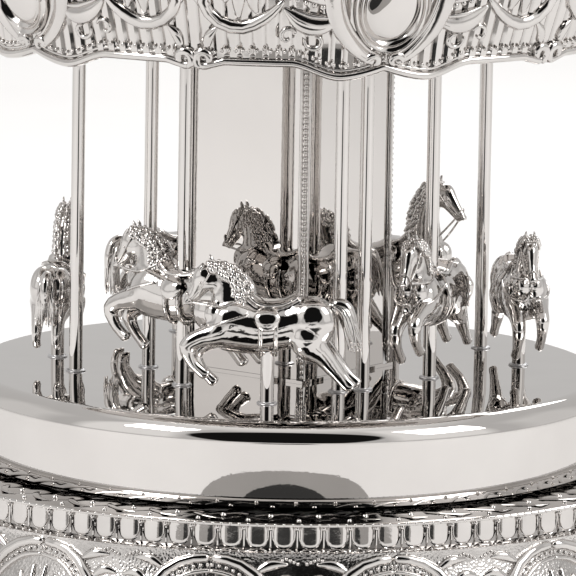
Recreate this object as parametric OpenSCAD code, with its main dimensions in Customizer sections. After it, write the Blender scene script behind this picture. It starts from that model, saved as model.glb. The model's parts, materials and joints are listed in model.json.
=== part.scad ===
// Carousel music box: a plated base with a spring-wound movement, a turntable with
// horses on poles round a mirrored column, and a fluted canopy with a domed roof.
// Origin: centre of the resting plane under the feet. +Z is up. Angles of the poles
// are measured from -Y (the front) towards +X.

/* [Base] */
// Outer radius of the fluted band at the top of the base
band_r = 94.2; // [92:0.2:98]
// Height of the fluted band
band_h = 7; // [6:0.5:8]
// Greatest radius of the casing, at its foot moulding
casing_r = 101; // [100:0.5:104]
// Wall of the casing
casing_wall = 2.2; // [1.6:0.2:2.6]
// Height of the feet below the casing
foot_h = 13; // [12:0.5:14]
// Radius on which the four feet stand
foot_ring_r = 84; // [80:1:86]

/* [Turntable] */
// Height of the turntable's top face above the surface the box stands on
disc_top = 78; // [77:0.5:80]
// Outer radius of the turntable
disc_r = 78.3; // [77:0.1:80]
// Height of the turntable's rim
disc_h = 19.7; // [18:0.1:20.5]
// Rounding of the turntable's upper edge
disc_round = 4.8; // [3:0.1:6]
// Sheet thickness of the turntable
disc_wall = 1.6; // [1.2:0.1:2]
// Running gap between the turntable and the deck
deck_gap = 0.5; // [0.4:0.1:0.8]

/* [Column and poles] */
// Half the diagonal of the square mirrored column
column_r = 25.2; // [23:0.2:27]
// How far the column's front corner is turned from the front
column_turn = 8.2; // [0:0.1:20]
// Height of the canopy's lowest edge above the turntable
canopy_rise = 80; // [76:1:86]
// Diameter of the poles
pole_d = 3.2; // [2.8:0.1:3.6]

/* [Canopy] */
// Radius of the skirt at its lower edge
skirt_low_r = 82.5; // [80:0.5:84]
// Radius of the skirt at its upper edge
skirt_top_r = 93; // [90:0.5:94]
// Height of the skirt
skirt_h = 32; // [28:1:34]
// Thickness of the skirt
skirt_wall = 1.6; // [1.2:0.1:2]
// Height of the domed roof above the cornice
roof_h = 32; // [26:1:36]
// Number of ribs on the roof
rib_count = 12; // [8:1:16]
// Number of oval cartouches round the skirt
cartouche_count = 6; // [3:1:8]

/* [Movement] */
// Teeth of the crown wheel on the spring barrel, a multiple of four
crown_teeth = 32; // [32]
// Teeth of the pinion on the cylinder's arbor
pinion_teeth = 8; // [8]
// Radius of the music cylinder
cylinder_r = 6.5; // [5.5:0.1:6.8]
// Number of comb teeth
comb_teeth = 18; // [12:1:18]
// Radius of the spring barrel
barrel_r = 19; // [16:0.5:19.5]

/* [Hidden] */
$fn = 96;
cut = 0.05; // how far a cutting shape runs past the face it cuts
glue = 0.03; // radial clearance of a rod fixed in its hole
run = 0.06; // radial clearance of a rod that turns in its hole

pad_h = 1;
plate_z = pad_h + foot_h;
plate_t = 2;
deck_z = disc_top - disc_h - deck_gap;
deck_t = 2.4;
band_z = deck_z - band_h;
shell_top_r = band_r - 2.3;
bed_z = plate_z + plate_t;
bed_t = 3;
screw_r = 1.5;
screw_ring_r = 88;
deck_screw_ring_r = 84;
lug_h = 4;
deck_hole = 1.8; // depth of the deck's blind screw holes

pole_r = pole_d / 2;
disc_under = disc_top - disc_wall;
rim_z = disc_top + canopy_rise;
floor_z = rim_z + 7;
floor_t = 2;
skirt_top_z = rim_z + skirt_h;
cornice_h = 5;
roof_z = skirt_top_z + cornice_h;
roof_top_r = 7;
spindle_r = 3;
mirror_t = 1;
column_side = column_r * sqrt(2);
core_side = column_side - 2 * mirror_t - 1.2;
plinth_h = 0.8;
nut_h = 2.5;
column_z = disc_top + plinth_h;
column_h = floor_z - column_z - 2;
post_top = 11; // how far a post reaches above its horse's lowest hoof

arbor_r = 2.5;
barrel_z = bed_z + bed_t + 2.2;
barrel_h = 12;
cover_t = 1.2;
crown_z = barrel_z + barrel_h + cover_t;
tooth_step = 1.25 * PI; // pitch of the crown wheel and of its pinion
crown_r = crown_teeth * tooth_step / (2 * PI);
pinion_r = pinion_teeth * tooth_step / (2 * PI);
tooth_up = 1;
tooth_down = 1.3;
crown_pitch_z = crown_z + 1.5 + tooth_down;
axis_z = crown_pitch_z + pinion_r;
fine_module = 0.8;
gear_teeth = 24;
idler_teeth = 8;
wheel_teeth = 16;
gear_r = gear_teeth * fine_module / 2;
idler_r = idler_teeth * fine_module / 2;
wheel_r = wheel_teeth * fine_module / 2;
idler_y = -(gear_r + idler_r);
cylinder_x0 = 28;
cylinder_len = 29;
gear_x = cylinder_x0 + cylinder_len + 1.5;
bracket_x = gear_x + 4;
wheel_x = bracket_x + 3.5;
fine_t = 2;
worm_r = 2;
worm_x = wheel_x + fine_t / 2;
worm_y = idler_y - wheel_r - worm_r;
worm_lead = fine_module * PI;
fan_z = axis_z + 6.8;
fan_h = 3;
fan_r = 6;
comb_tip_y = cylinder_r + 0.75;
comb_w = comb_teeth * 1.6;
comb_x0 = cylinder_x0 + 0.4;

// poles without horses: [angle, radius]
plain_poles = [[-77.4, 51.6], [-82.7, 33.4], [19.8, 36], [30.8, 35.1], [123.1, 56.5],
  [180, 55], [-140, 36]];
// horses of the inner ring, on full poles: [angle, radius, lift, extra turn]
inner_horses = [[-41.2, 37.5, 6.2, 8], [69.5, 36.3, 4.6, 0], [180, 36.5, 5, 0]];
// horses of the outer ring, on short posts
outer_horses = [[-5, 51.5, 3, 5], [97.1, 56.3, 3, 0], [151.4, 54.7, 3, 0],
  [-151, 55.5, 3, 0], [-98.6, 56, 3.4, 0]];

// place a child at a pole's foot, facing the way the carousel runs
module at_pole(p) {
  translate([p[1] * sin(p[0]), -p[1] * cos(p[0]), disc_top])
    rotate([0, 0, 180 + p[0]])
      children();
}

module ring(r_out, r_in, h) {
  difference() {
    cylinder(r = r_out, h = h);
    translate([0, 0, -cut]) cylinder(r = r_in, h = h + 2 * cut);
  }
}

module around(count, radius, start = 0) {
  for (i = [0 : count - 1])
    rotate([0, 0, start + i * 360 / count])
      translate([radius, 0, 0])
        children();
}

module round_screw(shank_r, shank_h, head_r, head_h) {
  // head below z = 0, shank above it, with a straight slot
  difference() {
    union() {
      translate([0, 0, -head_h]) cylinder(r = head_r, h = head_h, $fn = 32);
      cylinder(r = shank_r, h = shank_h, $fn = 32);
    }
    translate([-head_r - cut, -0.3, -head_h - cut])
      cube([2 * head_r + 2 * cut, 0.6, head_h / 2 + cut]);
  }
}

module spur_teeth(count, pitch_r, up, down, half_w) {
  // straight-flanked teeth: half_w is half the tooth's thickness on the pitch circle
  polygon([for (i = [0 : count - 1], k = [0 : 3])
    let (
      r = (k == 0 || k == 3) ? pitch_r - down : pitch_r + up,
      side = (k < 2) ? -1 : 1,
      w = (k == 0 || k == 3) ? half_w * 1.35 : half_w * 0.62,
      a = i * 360 / count + side * asin(w / r)
    )
    [r * cos(a), r * sin(a)]]);
}

// ---------- base ----------

module felt_pads() {
  color("dimgray")
    around(4, foot_ring_r, 45) cylinder(r = 7.6, h = pad_h);
}

module feet() {
  color("silver")
    around(4, foot_ring_r, 45)
      difference() {
        translate([0, 0, pad_h]) rotate_extrude()
          polygon([[0, 0], [8, 0], [8.8, 1.2], [8.4, 3], [6.4, 4.6], [5.8, 6.5],
            [7, 8.6], [9.6, 10.4], [10.4, 12], [10.4, foot_h], [0, foot_h]]);
        translate([0, 0, foot_h - 5]) cylinder(r = screw_r + glue, h = 7, $fn = 32);
      }
}

module foot_screws() {
  color("gray")
    around(4, foot_ring_r, 45)
      translate([0, 0, bed_z]) mirror([0, 0, 1]) round_screw(screw_r, 6.4, 2.8, 1.4);
}

module base_plate() {
  color("lightgray")
    difference() {
      translate([0, 0, plate_z]) cylinder(r = screw_ring_r + 4.6, h = plate_t);
      translate([0, 0, plate_z - cut]) {
        cylinder(r = 9, h = plate_t + 2 * cut);
        around(4, foot_ring_r, 45)
          cylinder(r = screw_r + glue, h = plate_t + 2 * cut, $fn = 32);
        around(6, screw_ring_r, 0)
          cylinder(r = screw_r + glue, h = plate_t + 2 * cut, $fn = 32);
        movement_holes() cylinder(r = screw_r + glue, h = plate_t + 2 * cut, $fn = 32);
      }
    }
}

module plate_screws() {
  color("gray")
    around(6, screw_ring_r, 0)
      translate([0, 0, plate_z]) round_screw(screw_r, 7, 2.8, 1.2);
}

module base_shell() {
  // ornamental casing: a bellied wall with a foot moulding, and bosses for the screws
  r0 = casing_r;
  wall = casing_wall;
  color("silver") {
    rotate_extrude() polygon([
      [screw_ring_r + 5, plate_z], [r0 - 0.6, plate_z], [r0, plate_z + 1.4],
      [r0 - 0.6, plate_z + 2.8], [r0 - 3.4, plate_z + 4.4], [r0 - 4.2, plate_z + 7],
      [r0 - 3, plate_z + 10.6], [r0 - 1.8, plate_z + 15], [r0 - 1.8, plate_z + 19.4],
      [r0 - 3, plate_z + 24], [r0 - 5.2, plate_z + 29], [r0 - 7, band_z - 2.4],
      [r0 - 7.4, band_z], [shell_top_r, band_z], [shell_top_r, deck_z - deck_t],
      [shell_top_r - wall, deck_z - deck_t], [shell_top_r - wall, band_z - 3],
      [r0 - 5.2 - wall, plate_z + 27], [r0 - 1.8 - wall, plate_z + 18],
      [r0 - 4.2 - wall, plate_z + 8], [screw_ring_r + 5, plate_z + 4]]);
    // bosses that take the base plate's screws
    around(6, screw_ring_r, 0)
      difference() {
        union() {
          translate([0, 0, bed_z + 0.02]) cylinder(r = 3.6, h = 8, $fn = 32);
          translate([0, -2, bed_z + 0.02]) cube([7.2, 4, 8]);
        }
        translate([0, 0, bed_z - cut]) cylinder(r = screw_r + glue, h = 6, $fn = 32);
      }
    // lugs that the deck's screws pass through from below
    around(6, deck_screw_ring_r, 30)
      translate([0, 0, deck_z - deck_t - lug_h])
        difference() {
          union() {
            cylinder(r = 3.6, h = lug_h - 0.02, $fn = 32);
            translate([0, -1.5, 0]) cube([6.6, 3, lug_h - 0.02]);
          }
          translate([0, 0, -cut]) cylinder(r = screw_r + glue, h = lug_h + 2 * cut, $fn = 32);
        }
  }
}

module fluted_band() {
  color("silver")
    translate([0, 0, band_z]) rotate_extrude() polygon([
      [shell_top_r + 0.02, 0.02], [band_r - 0.4, 0.02], [band_r, 0.5],
      [band_r, 1], [band_r - 0.5, 1.5], [band_r - 0.5, band_h - 1.4],
      [band_r, band_h - 1], [band_r, band_h - 0.3], [band_r - 0.4, band_h],
      [shell_top_r + 0.02, band_h]]);
}

module base_deck() {
  color("silver")
    difference() {
      union() {
        translate([0, 0, deck_z - deck_t + 0.02]) cylinder(r = shell_top_r, h = deck_t - 0.02);
        translate([0, 0, deck_z - 8]) cylinder(r = 9, h = 7);
      }
      translate([0, 0, deck_z - 9]) cylinder(r = 5 + glue, h = 10);
      around(6, deck_screw_ring_r, 30)
        translate([0, 0, deck_z - deck_t - cut])
          cylinder(r = screw_r + glue, h = deck_hole + cut, $fn = 32);
    }
}

module deck_screws() {
  color("gray")
    around(6, deck_screw_ring_r, 30)
      translate([0, 0, deck_z - deck_t - lug_h]) round_screw(screw_r, lug_h + deck_hole - 0.1, 2.7, 1);
}

module deck_bush() {
  color("goldenrod")
    translate([0, 0, deck_z - 8]) ring(5, spindle_r + run, 8);
}

module thrust_washer() {
  color("ivory")
    translate([0, 0, deck_z + 0.02]) ring(8, spindle_r + 0.4, 0.5);
}

// ---------- movement ----------

module movement_holes() {
  for (p = [[-24, -16], [-24, 16], [58, 20], [54, -22]])
    translate([p[0], p[1], 0]) children();
}

module movement_bedplate() {
  color("gray")
    difference() {
      union() {
        translate([-30, -28, bed_z + 0.02]) cube([106, 54, bed_t - 0.02]);
        translate([0, 0, bed_z + bed_t - cut]) cylinder(r = 6, h = 1.6);
      }
      translate([0, 0, bed_z - cut]) {
        cylinder(r = arbor_r + run, h = 8);
        movement_holes() cylinder(r = screw_r + glue, h = bed_t + 1, $fn = 32);
      }
    }
}

module movement_screws() {
  color("gray")
    movement_holes()
      translate([0, 0, plate_z]) round_screw(screw_r, plate_t + bed_t - 0.2, 2.8, 1.2);
}

module comb_block() {
  color("dimgray")
    difference() {
      translate([comb_x0, comb_tip_y + 8.6, bed_z + bed_t + 0.02])
        cube([comb_w, 8, axis_z - 0.6 - bed_z - bed_t]);
      comb_screw_places() translate([0, 0, axis_z - 6]) cylinder(r = 1 + glue, h = 8, $fn = 32);
    }
}

module comb_screw_places() {
  for (x = [comb_x0 + 6, comb_x0 + comb_w - 6])
    translate([x, comb_tip_y + 12.4, 0]) children();
}

module music_comb() {
  pitch = comb_w / comb_teeth;
  slot = 0.45;
  color("lightsteelblue")
    difference() {
      translate([comb_x0, comb_tip_y, axis_z - 0.55]) cube([comb_w, 16.4, 1.1]);
      for (i = [1 : comb_teeth - 1])
        translate([comb_x0 + i * pitch - slot / 2, comb_tip_y - cut, axis_z - 2])
          cube([slot, 8.4, 4]);
      comb_screw_places() translate([0, 0, axis_z - 2]) cylinder(r = 1 + glue, h = 4, $fn = 32);
    }
}

module comb_screws() {
  color("gray")
    comb_screw_places()
      translate([0, 0, axis_z + 0.57]) mirror([0, 0, 1]) round_screw(1, 5, 2, 1);
}

module bracket(x, y0, y1) {
  translate([x, y0, bed_z + bed_t + 0.02])
    cube([2, y1 - y0, axis_z + 4 - bed_z - bed_t]);
}

module cylinder_brackets() {
  color("goldenrod")
    for (x = [cylinder_x0 - 3.6, bracket_x])
      difference() {
        bracket(x, x == bracket_x ? idler_y - 3 : -4, 4);
        translate([x - 1, 0, axis_z]) rotate([0, 90, 0]) cylinder(r = 1.2 + run, h = 4, $fn = 32);
        translate([x - 1, idler_y, axis_z]) rotate([0, 90, 0])
          cylinder(r = 1 + run, h = 4, $fn = 32);
      }
}

module governor_frame() {
  post_x = worm_x + fan_r + 0.8;
  color("goldenrod")
    difference() {
      translate([0, worm_y - 2.6, 0]) union() {
        translate([post_x - 0.2, 0, bed_z + bed_t + 0.02]) cube([2.2, 5.2, 34]);
        translate([worm_x - 2.6, 0, axis_z - 9.6]) cube([post_x - worm_x + 3, 5.2, 1.6]);
        translate([worm_x - 2.6, 0, fan_z + fan_h + 0.6]) cube([post_x - worm_x + 3, 5.2, 1.2]);
      }
      translate([worm_x, worm_y, axis_z - 12]) cylinder(r = 0.8 + run, h = 40, $fn = 32);
    }
}

// the key turns in the base

module key_arbor() {
  color("silver")
    translate([0, 0, 6]) cylinder(r = arbor_r, h = barrel_z + barrel_h - 1 - 6, $fn = 48);
}

module winding_key() {
  color("silver")
    difference() {
      union() {
        translate([0, 0, 5.4]) cylinder(r = 4.2, h = 5.6, $fn = 48);
        for (s = [-1, 1])
          translate([s * 10, 1.1, 6.6]) rotate([90, 0, 0])
            difference() {
              union() {
                cylinder(r = 4.8, h = 2.2, $fn = 48);
                translate([s < 0 ? 0 : -8, -2.4, 0]) cube([8, 4.8, 2.2]);
              }
              translate([0, 0, -cut]) cylinder(r = 2.2, h = 3, $fn = 48);
            }
      }
      translate([0, 0, 6 - glue]) cylinder(r = arbor_r + glue, h = 9, $fn = 48);
    }
}

// the spring barrel turns with the turntable

module spring_barrel() {
  color("goldenrod")
    difference() {
      translate([0, 0, barrel_z]) cylinder(r = barrel_r, h = barrel_h);
      translate([0, 0, barrel_z + 1.2]) cylinder(r = barrel_r - 1.2, h = barrel_h);
      translate([0, 0, barrel_z - cut]) cylinder(r = arbor_r + run, h = 3);
    }
}

module mainspring() {
  turns = 5;
  steps = 20;
  n = turns * steps;
  r_a = arbor_r + 1;
  r_b = barrel_r - 2;
  strip = 0.5;
  function spiral(i, d) = let (r = r_a + (r_b - r_a) * i / n + d, a = i * 360 / steps)
    [r * cos(a), r * sin(a)];
  color("steelblue")
    translate([0, 0, barrel_z + 1.8]) linear_extrude(barrel_h - 3)
      polygon(concat([for (i = [0 : n]) spiral(i, 0)], [for (i = [n : -1 : 0]) spiral(i, strip)]));
}

module barrel_cover() {
  color("goldenrod")
    translate([0, 0, barrel_z + barrel_h + 0.02]) cylinder(r = barrel_r, h = cover_t - 0.02);
}

module crown_wheel() {
  half = 0.8;
  color("gold") {
    difference() {
      translate([0, 0, crown_z + 0.02]) cylinder(r = crown_r + 1.8, h = 1.48);
      translate([0, 0, crown_z - cut]) cylinder(r = spindle_r + glue, h = 3);
    }
    for (i = [0 : crown_teeth - 1])
      rotate([0, 0, (i + 0.5) * 360 / crown_teeth])
        translate([crown_r - 1.8, 0, crown_z + 1.5 - cut])
          rotate([90, 0, 90]) linear_extrude(3.4)
            polygon([[-half * 1.3, 0], [half * 1.3, 0], [half * 0.62, tooth_up + tooth_down],
              [-half * 0.62, tooth_up + tooth_down]]);
  }
}

module drive_spindle() {
  color("silver")
    translate([0, 0, crown_z + 0.02]) cylinder(r = spindle_r, h = disc_top - 10 - crown_z);
}

// ---------- turntable ----------

module turntable_disc() {
  r = disc_r;
  z0 = disc_top - disc_h;
  color("silver")
    difference() {
      translate([0, 0, z0]) cylinder(r = r, h = disc_h - disc_round);
      translate([0, 0, z0 - cut])
        cylinder(r = r - disc_wall, h = disc_h - disc_round + 2 * cut);
    }
  color("silver")
    difference() {
      translate([0, 0, disc_top - disc_round]) rotate_extrude() {
        difference() {
          union() {
            translate([r - disc_round, 0]) intersection() {
              circle(r = disc_round);
              square(disc_round);
            }
            translate([0, disc_round - disc_wall]) square([r - disc_round, disc_wall]);
          }
          translate([r - disc_round, -cut]) square([disc_round - disc_wall, disc_round - disc_wall]);
        }
      }
      translate([0, 0, disc_top - 5]) cylinder(r = spindle_r + glue, h = 8);
      for (p = concat(plain_poles, inner_horses, outer_horses))
        at_pole(p) translate([0, 0, -5]) cylinder(r = pole_r + glue, h = 8, $fn = 48);
      around(3, 16, 20) translate([0, 0, disc_top - 5])
        cylinder(r = 1.2 + glue, h = 8, $fn = 32);
    }
}

module turntable_hub() {
  color("gray")
    difference() {
      union() {
        translate([0, 0, deck_z + 0.9]) cylinder(r = 9, h = disc_under - deck_z - 0.92);
        translate([0, 0, disc_under - 3]) cylinder(r = 22, h = 2.98);
      }
      translate([0, 0, deck_z]) cylinder(r = spindle_r + glue, h = disc_h + 4);
      around(3, 16, 20) translate([0, 0, disc_under - 4])
        cylinder(r = 1.2 + glue, h = 6, $fn = 32);
    }
}

module hub_screws() {
  color("gray")
    around(3, 16, 20) translate([0, 0, disc_under - 3.02])
      round_screw(1.2, 3 + disc_wall - 0.2, 2.4, 1.2);
}

module square_box(side, h) {
  rotate([0, 0, column_turn - 45]) translate([-side / 2, -side / 2, 0]) cube([side, side, h]);
}

module column_plinth() {
  color("silver")
    difference() {
      translate([0, 0, disc_top + 0.02]) square_box(column_side + 0.8, plinth_h - 0.04);
      translate([0, 0, disc_top - cut]) cylinder(r = spindle_r + glue, h = 4);
    }
}

module column_core() {
  color("gray")
    difference() {
      translate([0, 0, column_z]) square_box(core_side, column_h);
      translate([0, 0, column_z - cut]) square_box(core_side - 3, column_h + 2 * cut);
    }
}

module mirror_panels() {
  w = core_side - 0.8;
  color("whitesmoke")
    rotate([0, 0, column_turn - 45])
      for (i = [0 : 3])
        rotate([0, 0, i * 90])
          translate([-w / 2, -core_side / 2 - mirror_t - 0.02, column_z + 0.02])
            cube([w, mirror_t, column_h - 0.04]);
}

module corner_strips() {
  out = column_side / 2;
  leg = 1.9;
  color("silver")
    rotate([0, 0, column_turn - 45])
      for (i = [0 : 3])
        rotate([0, 0, i * 90])
          translate([-out, -out, column_z + 0.02])
            difference() {
              cube([leg, leg, column_h - 0.04]);
              translate([0.6 + mirror_t - 0.04, 0.6 + mirror_t - 0.04, -cut])
                cube([leg, leg, column_h + 1]);
            }
}

module column_cap() {
  color("silver")
    difference() {
      translate([0, 0, column_z + column_h + 0.02]) square_box(column_side + 0.8, 1.94);
      translate([0, 0, column_z + column_h - cut]) cylinder(r = spindle_r + glue, h = 4);
    }
}

module tie_rod() {
  color("silver")
    translate([0, 0, disc_top - 9.9]) cylinder(r = spindle_r - 0.01, h = roof_z + roof_h - disc_top + 14);
}

module pole(p, z_top) {
  at_pole([p[0], p[1]]) translate([0, 0, -6]) cylinder(r = pole_r, h = z_top + 6, $fn = 48);
}

module canopy_poles() {
  color("silver")
    for (p = plain_poles) pole(p, floor_z + floor_t + nut_h - disc_top);
}

module horse_poles() {
  color("silver")
    for (p = inner_horses) pole(p, floor_z + floor_t + nut_h - disc_top);
}

module horse_posts() {
  color("silver")
    for (p = outer_horses) pole(p, p[2] + post_top);
}

module pole_nuts() {
  // hexagon nuts that hold the poles under the turntable and above the canopy floor
  color("gray") {
    for (p = concat(plain_poles, inner_horses, outer_horses)) at_pole([p[0], p[1]])
      translate([0, 0, -disc_wall - nut_h]) hex_nut();
    for (p = concat(plain_poles, inner_horses)) at_pole([p[0], p[1]])
      translate([0, 0, floor_z + floor_t - disc_top + 0.02]) hex_nut();
  }
}

module hex_nut() {
  difference() {
    cylinder(r = 3.2, h = nut_h - 0.04, $fn = 6);
    translate([0, 0, -cut]) cylinder(r = pole_r + glue, h = nut_h + 1, $fn = 48);
  }
}

// ---------- horses ----------
// A horse is drawn facing +X with its pole on the Z axis and its lowest hoof at z = 0.

module slab(w, y = 0) {
  translate([0, y + w / 2, 0]) rotate([90, 0, 0]) linear_extrude(w) children();
}

module galloping_horse(up) {
  difference() {
    union() {
      // barrel, chest and rump
      slab(8.4) polygon([[-15.5, 18], [-15, 21], [-12, 22.4], [-7.5, 22], [0, 20], [5, 21.6],
        [9, 23], [13, 20], [14, 16], [11, 11.6], [1.6, 8.2], [-6, 9.6], [-11, 11]]);
      // neck and mane
      slab(5) polygon([[4, 20], [7, 26], [10.4, 29.6], [13.6, 30], [15.4, 26], [15.6, 18], [10, 14]]);
      // head
      slab(4.4) polygon([[12, 28.4], [15.6, 30.6], [17, 28], [19.4, 20.4], [17.6, 17.8],
        [14.6, 20], [12, 23]]);
      // fore legs, one reaching and one tucked
      slab(2.6, 2.4) polygon([[8, 13], [12.6, 15], [17.2, 8.6], [14.4, 4.6], [12.6, 0], [9.8, 0.4],
        [11.4, 5.4], [13.4, 8.4]]);
      slab(2.6, -2.4) polygon([[8, 13.6], [12.8, 15.6], [19.4, 10.4], [17, 5.6], [13.8, 3], [12.2, 5],
        [15, 8], [15.8, 9.8]]);
      // hind legs, stretched back
      for (s = [-1, 1])
        slab(3, s * 2.5) polygon([[-5, 10.6], [-9, 17], [-14.6, 17], [-15, 11], [-17.2, 6.4], [-20.6, 1.2],
          [-19.4, 0], [-16.6, 0.6], [-13.4, 4.8], [-10, 7.8]]);
      // tail
      slab(3.4) polygon([[-14, 21.6], [-16.4, 21], [-19.4, 15], [-20.8, 9.4], [-17.6, 11],
        [-15, 16]]);
    }
    translate([0, 0, -1]) cylinder(r = pole_r + glue, h = up, $fn = 48);
  }
}

module proud_horse(up) {
  difference() {
    union() {
      slab(8.4) polygon([[-15.5, 18], [-15, 21], [-12, 22.4], [-7.5, 22], [0, 20.6], [5, 22],
        [9, 23], [13, 20], [14, 16], [11, 11.6], [1.6, 8.2], [-6, 9.6], [-11, 11]]);
      slab(5) polygon([[4, 21], [5.4, 28], [7.6, 34], [10.2, 36], [13, 32], [13.4, 26], [15, 18],
        [10, 14]]);
      slab(4.4) polygon([[9, 35], [11, 37.6], [13, 35.6], [18.6, 29.4], [18, 26.6], [15.6, 26.4],
        [12.6, 29], [9.6, 31]]);
      slab(2.6, 2.4) polygon([[8, 13], [12.6, 15], [15.4, 8.6], [13.4, 4.6], [11.8, 0], [9, 0.4],
        [10.4, 5.4], [11.6, 8.4]]);
      slab(2.6, -2.4) polygon([[8, 13.6], [12.8, 15.6], [18.6, 11.4], [16.4, 6], [13.6, 3.4], [12.2, 5],
        [14.6, 8.6], [15.2, 10.4]]);
      for (s = [-1, 1])
        slab(3, s * 2.5) polygon([[-5, 10.6], [-9, 17], [-14.6, 17], [-15.4, 10], [-17.6, 6], [-17, 1],
          [-14.4, 0], [-12.8, 1], [-14.2, 5], [-11, 9]]);
      slab(3.4) polygon([[-14, 21.6], [-16.4, 21], [-19.4, 15], [-19.8, 8], [-17.2, 9.4],
        [-15, 16]]);
    }
    translate([0, 0, -1]) cylinder(r = pole_r + glue, h = up, $fn = 48);
  }
}

module placed_horse(p, proud, through) {
  up = through ? 60 : post_top + 1;
  color("silver")
    at_pole(p) rotate([0, 0, p[3]]) translate([0, 0, p[2]]) {
      if (proud) proud_horse(up);
      else galloping_horse(up);
    }
}

module horse_front() { placed_horse(outer_horses[0], false, false); }
module horse_right() { placed_horse(outer_horses[1], false, false); }
module horse_back_right() { placed_horse(outer_horses[2], true, false); }
module horse_back_left() { placed_horse(outer_horses[3], true, false); }
module horse_left() { placed_horse(outer_horses[4], true, false); }
module inner_horse_left() { placed_horse(inner_horses[0], false, true); }
module inner_horse_right() { placed_horse(inner_horses[1], false, true); }
module inner_horse_back() { placed_horse(inner_horses[2], false, true); }

// ---------- canopy ----------

skirt_bend = [[0, 0], [0.2, 0.16], [0.46, 0.44], [0.73, 0.72], [1, 1]];
function skirt_point(p, d) =
  [skirt_low_r + (skirt_top_r - skirt_low_r) * p[1] + d, rim_z + skirt_h * p[0]];

module canopy_floor() {
  color("silver")
    difference() {
      translate([0, 0, floor_z]) cylinder(r = skirt_low_r + 0.2, h = floor_t);
      translate([0, 0, floor_z - cut]) cylinder(r = spindle_r + glue, h = floor_t + 1);
      for (p = concat(plain_poles, inner_horses))
        at_pole(p) translate([0, 0, floor_z - disc_top - 1])
          cylinder(r = pole_r + glue, h = 4, $fn = 48);
    }
}

module canopy_skirt() {
  color("silver")
    rotate_extrude() polygon(concat(
      [for (p = skirt_bend) skirt_point(p, 0)],
      [for (i = [len(skirt_bend) - 1 : -1 : 0]) skirt_point(skirt_bend[i], -skirt_wall)]));
}

module cartouches() {
  tilt = atan((skirt_top_r - skirt_low_r) / skirt_h);
  color("silver")
    for (i = [0 : cartouche_count - 1])
      rotate([0, 0, 14.6 - 90 + i * 360 / cartouche_count])
        translate([skirt_low_r + (skirt_top_r - skirt_low_r) * 0.53 + 0.35, 0, rim_z + skirt_h * 0.56])
          rotate([0, 90 + tilt, 0])
            difference() {
              cylinder(r = 9, h = 2, $fn = 64);
              translate([0, 0, 1.4]) cylinder(r = 7.4, h = 2, $fn = 64);
            }
}

module canopy_cornice() {
  color("silver")
    translate([0, 0, skirt_top_z + 0.02]) rotate_extrude() polygon([
      [skirt_top_r - 6, 0], [skirt_top_r + 0.6, 0], [skirt_top_r + 2, 1], [skirt_top_r + 2.4, 2.2],
      [skirt_top_r + 1.6, 3.4], [skirt_top_r + 0.4, 4], [skirt_top_r - 0.4, cornice_h - 0.04],
      [skirt_top_r - 6, cornice_h - 0.04]]);
}

// the roof's outer line: a flat ogee from the cornice up to the finial
roof_line = [[1, 0], [0.97, 0.09], [0.9, 0.19], [0.8, 0.3], [0.66, 0.42], [0.5, 0.53],
  [0.34, 0.64], [0.2, 0.76], [0.1, 0.88], [0, 1]];
function roof_point(p, d) =
  [roof_top_r + (skirt_top_r - 2 - roof_top_r) * p[0] + d * 0.5, roof_z + roof_h * p[1] - d];

module canopy_roof() {
  color("silver")
    rotate_extrude() polygon(concat(
      [for (p = roof_line) roof_point(p, 0)],
      [[spindle_r + glue, roof_z + roof_h], [spindle_r + glue, roof_z + roof_h - 1.6]],
      [for (i = [len(roof_line) - 1 : -1 : 1]) roof_point(roof_line[i], 1.6)],
      [[skirt_top_r - 4, roof_z]]));
}

module roof_ribs() {
  // each rib follows the roof line and stands a little proud of it
  h = 1.2;
  color("silver")
    for (i = [0 : rib_count - 1])
      rotate([90, 0, i * 360 / rib_count])
        translate([0, 0, -0.7]) linear_extrude(1.4)
          polygon(concat(
            [for (k = [1 : len(roof_line) - 2]) roof_point(roof_line[k], 0)],
            [for (k = [len(roof_line) - 2 : -1 : 1]) roof_point(roof_line[k], 0) + [h * 0.6, h]]));
}

module roof_nut() {
  color("silver")
    translate([0, 0, roof_z + roof_h + 0.02])
      difference() {
        cylinder(r = roof_top_r + 1, h = 2.4);
        translate([0, 0, -cut]) cylinder(r = spindle_r + glue, h = 4);
      }
}

module finial() {
  z0 = roof_z + roof_h + 2.46;
  color("silver")
    difference() {
      translate([0, 0, z0]) rotate_extrude() polygon([
        [0, 0], [6.4, 0], [6.8, 0.8], [5, 1.8], [3.8, 3], [5.4, 4.2], [6.8, 6.2], [6.8, 8],
        [5.4, 10], [3.2, 11.4], [2, 12.6], [2.6, 13.8], [1.8, 15], [0.9, 17], [0, 18]]);
      translate([0, 0, z0 - 1]) cylinder(r = spindle_r + glue, h = 3);
    }
}

// ---------- cylinder, idler and air brake ----------

module along_x(x, y = 0) {
  translate([x, y, axis_z]) rotate([90, 0, 90]) children();
}

module music_cylinder() {
  pins = 6;
  color("gold")
    difference() {
      union() {
        along_x(cylinder_x0) cylinder(r = cylinder_r, h = cylinder_len);
        for (i = [0 : comb_teeth - 1], k = [0 : pins - 1])
          along_x(comb_x0 + (i + 0.5) * comb_w / comb_teeth)
            rotate([0, 0, (k * 61 + i * 97) % 360])
              translate([cylinder_r - 0.4, -0.2, -0.2]) cube([0.85, 0.4, 0.4]);
      }
      along_x(cylinder_x0 - 1) cylinder(r = 1.2 + glue, h = cylinder_len + 2, $fn = 32);
    }
}

module cylinder_arbor() {
  color("silver") {
    along_x(crown_r - 2.6) cylinder(r = 1.2, h = bracket_x + 2.6 - crown_r + 2.6, $fn = 32);
    // the pinion that meshes with the crown wheel: one tooth points straight down
    along_x(crown_r - 1.5) linear_extrude(3)
      rotate(-90) spur_teeth(pinion_teeth, pinion_r, tooth_up, tooth_down, 0.8);
  }
}

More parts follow.
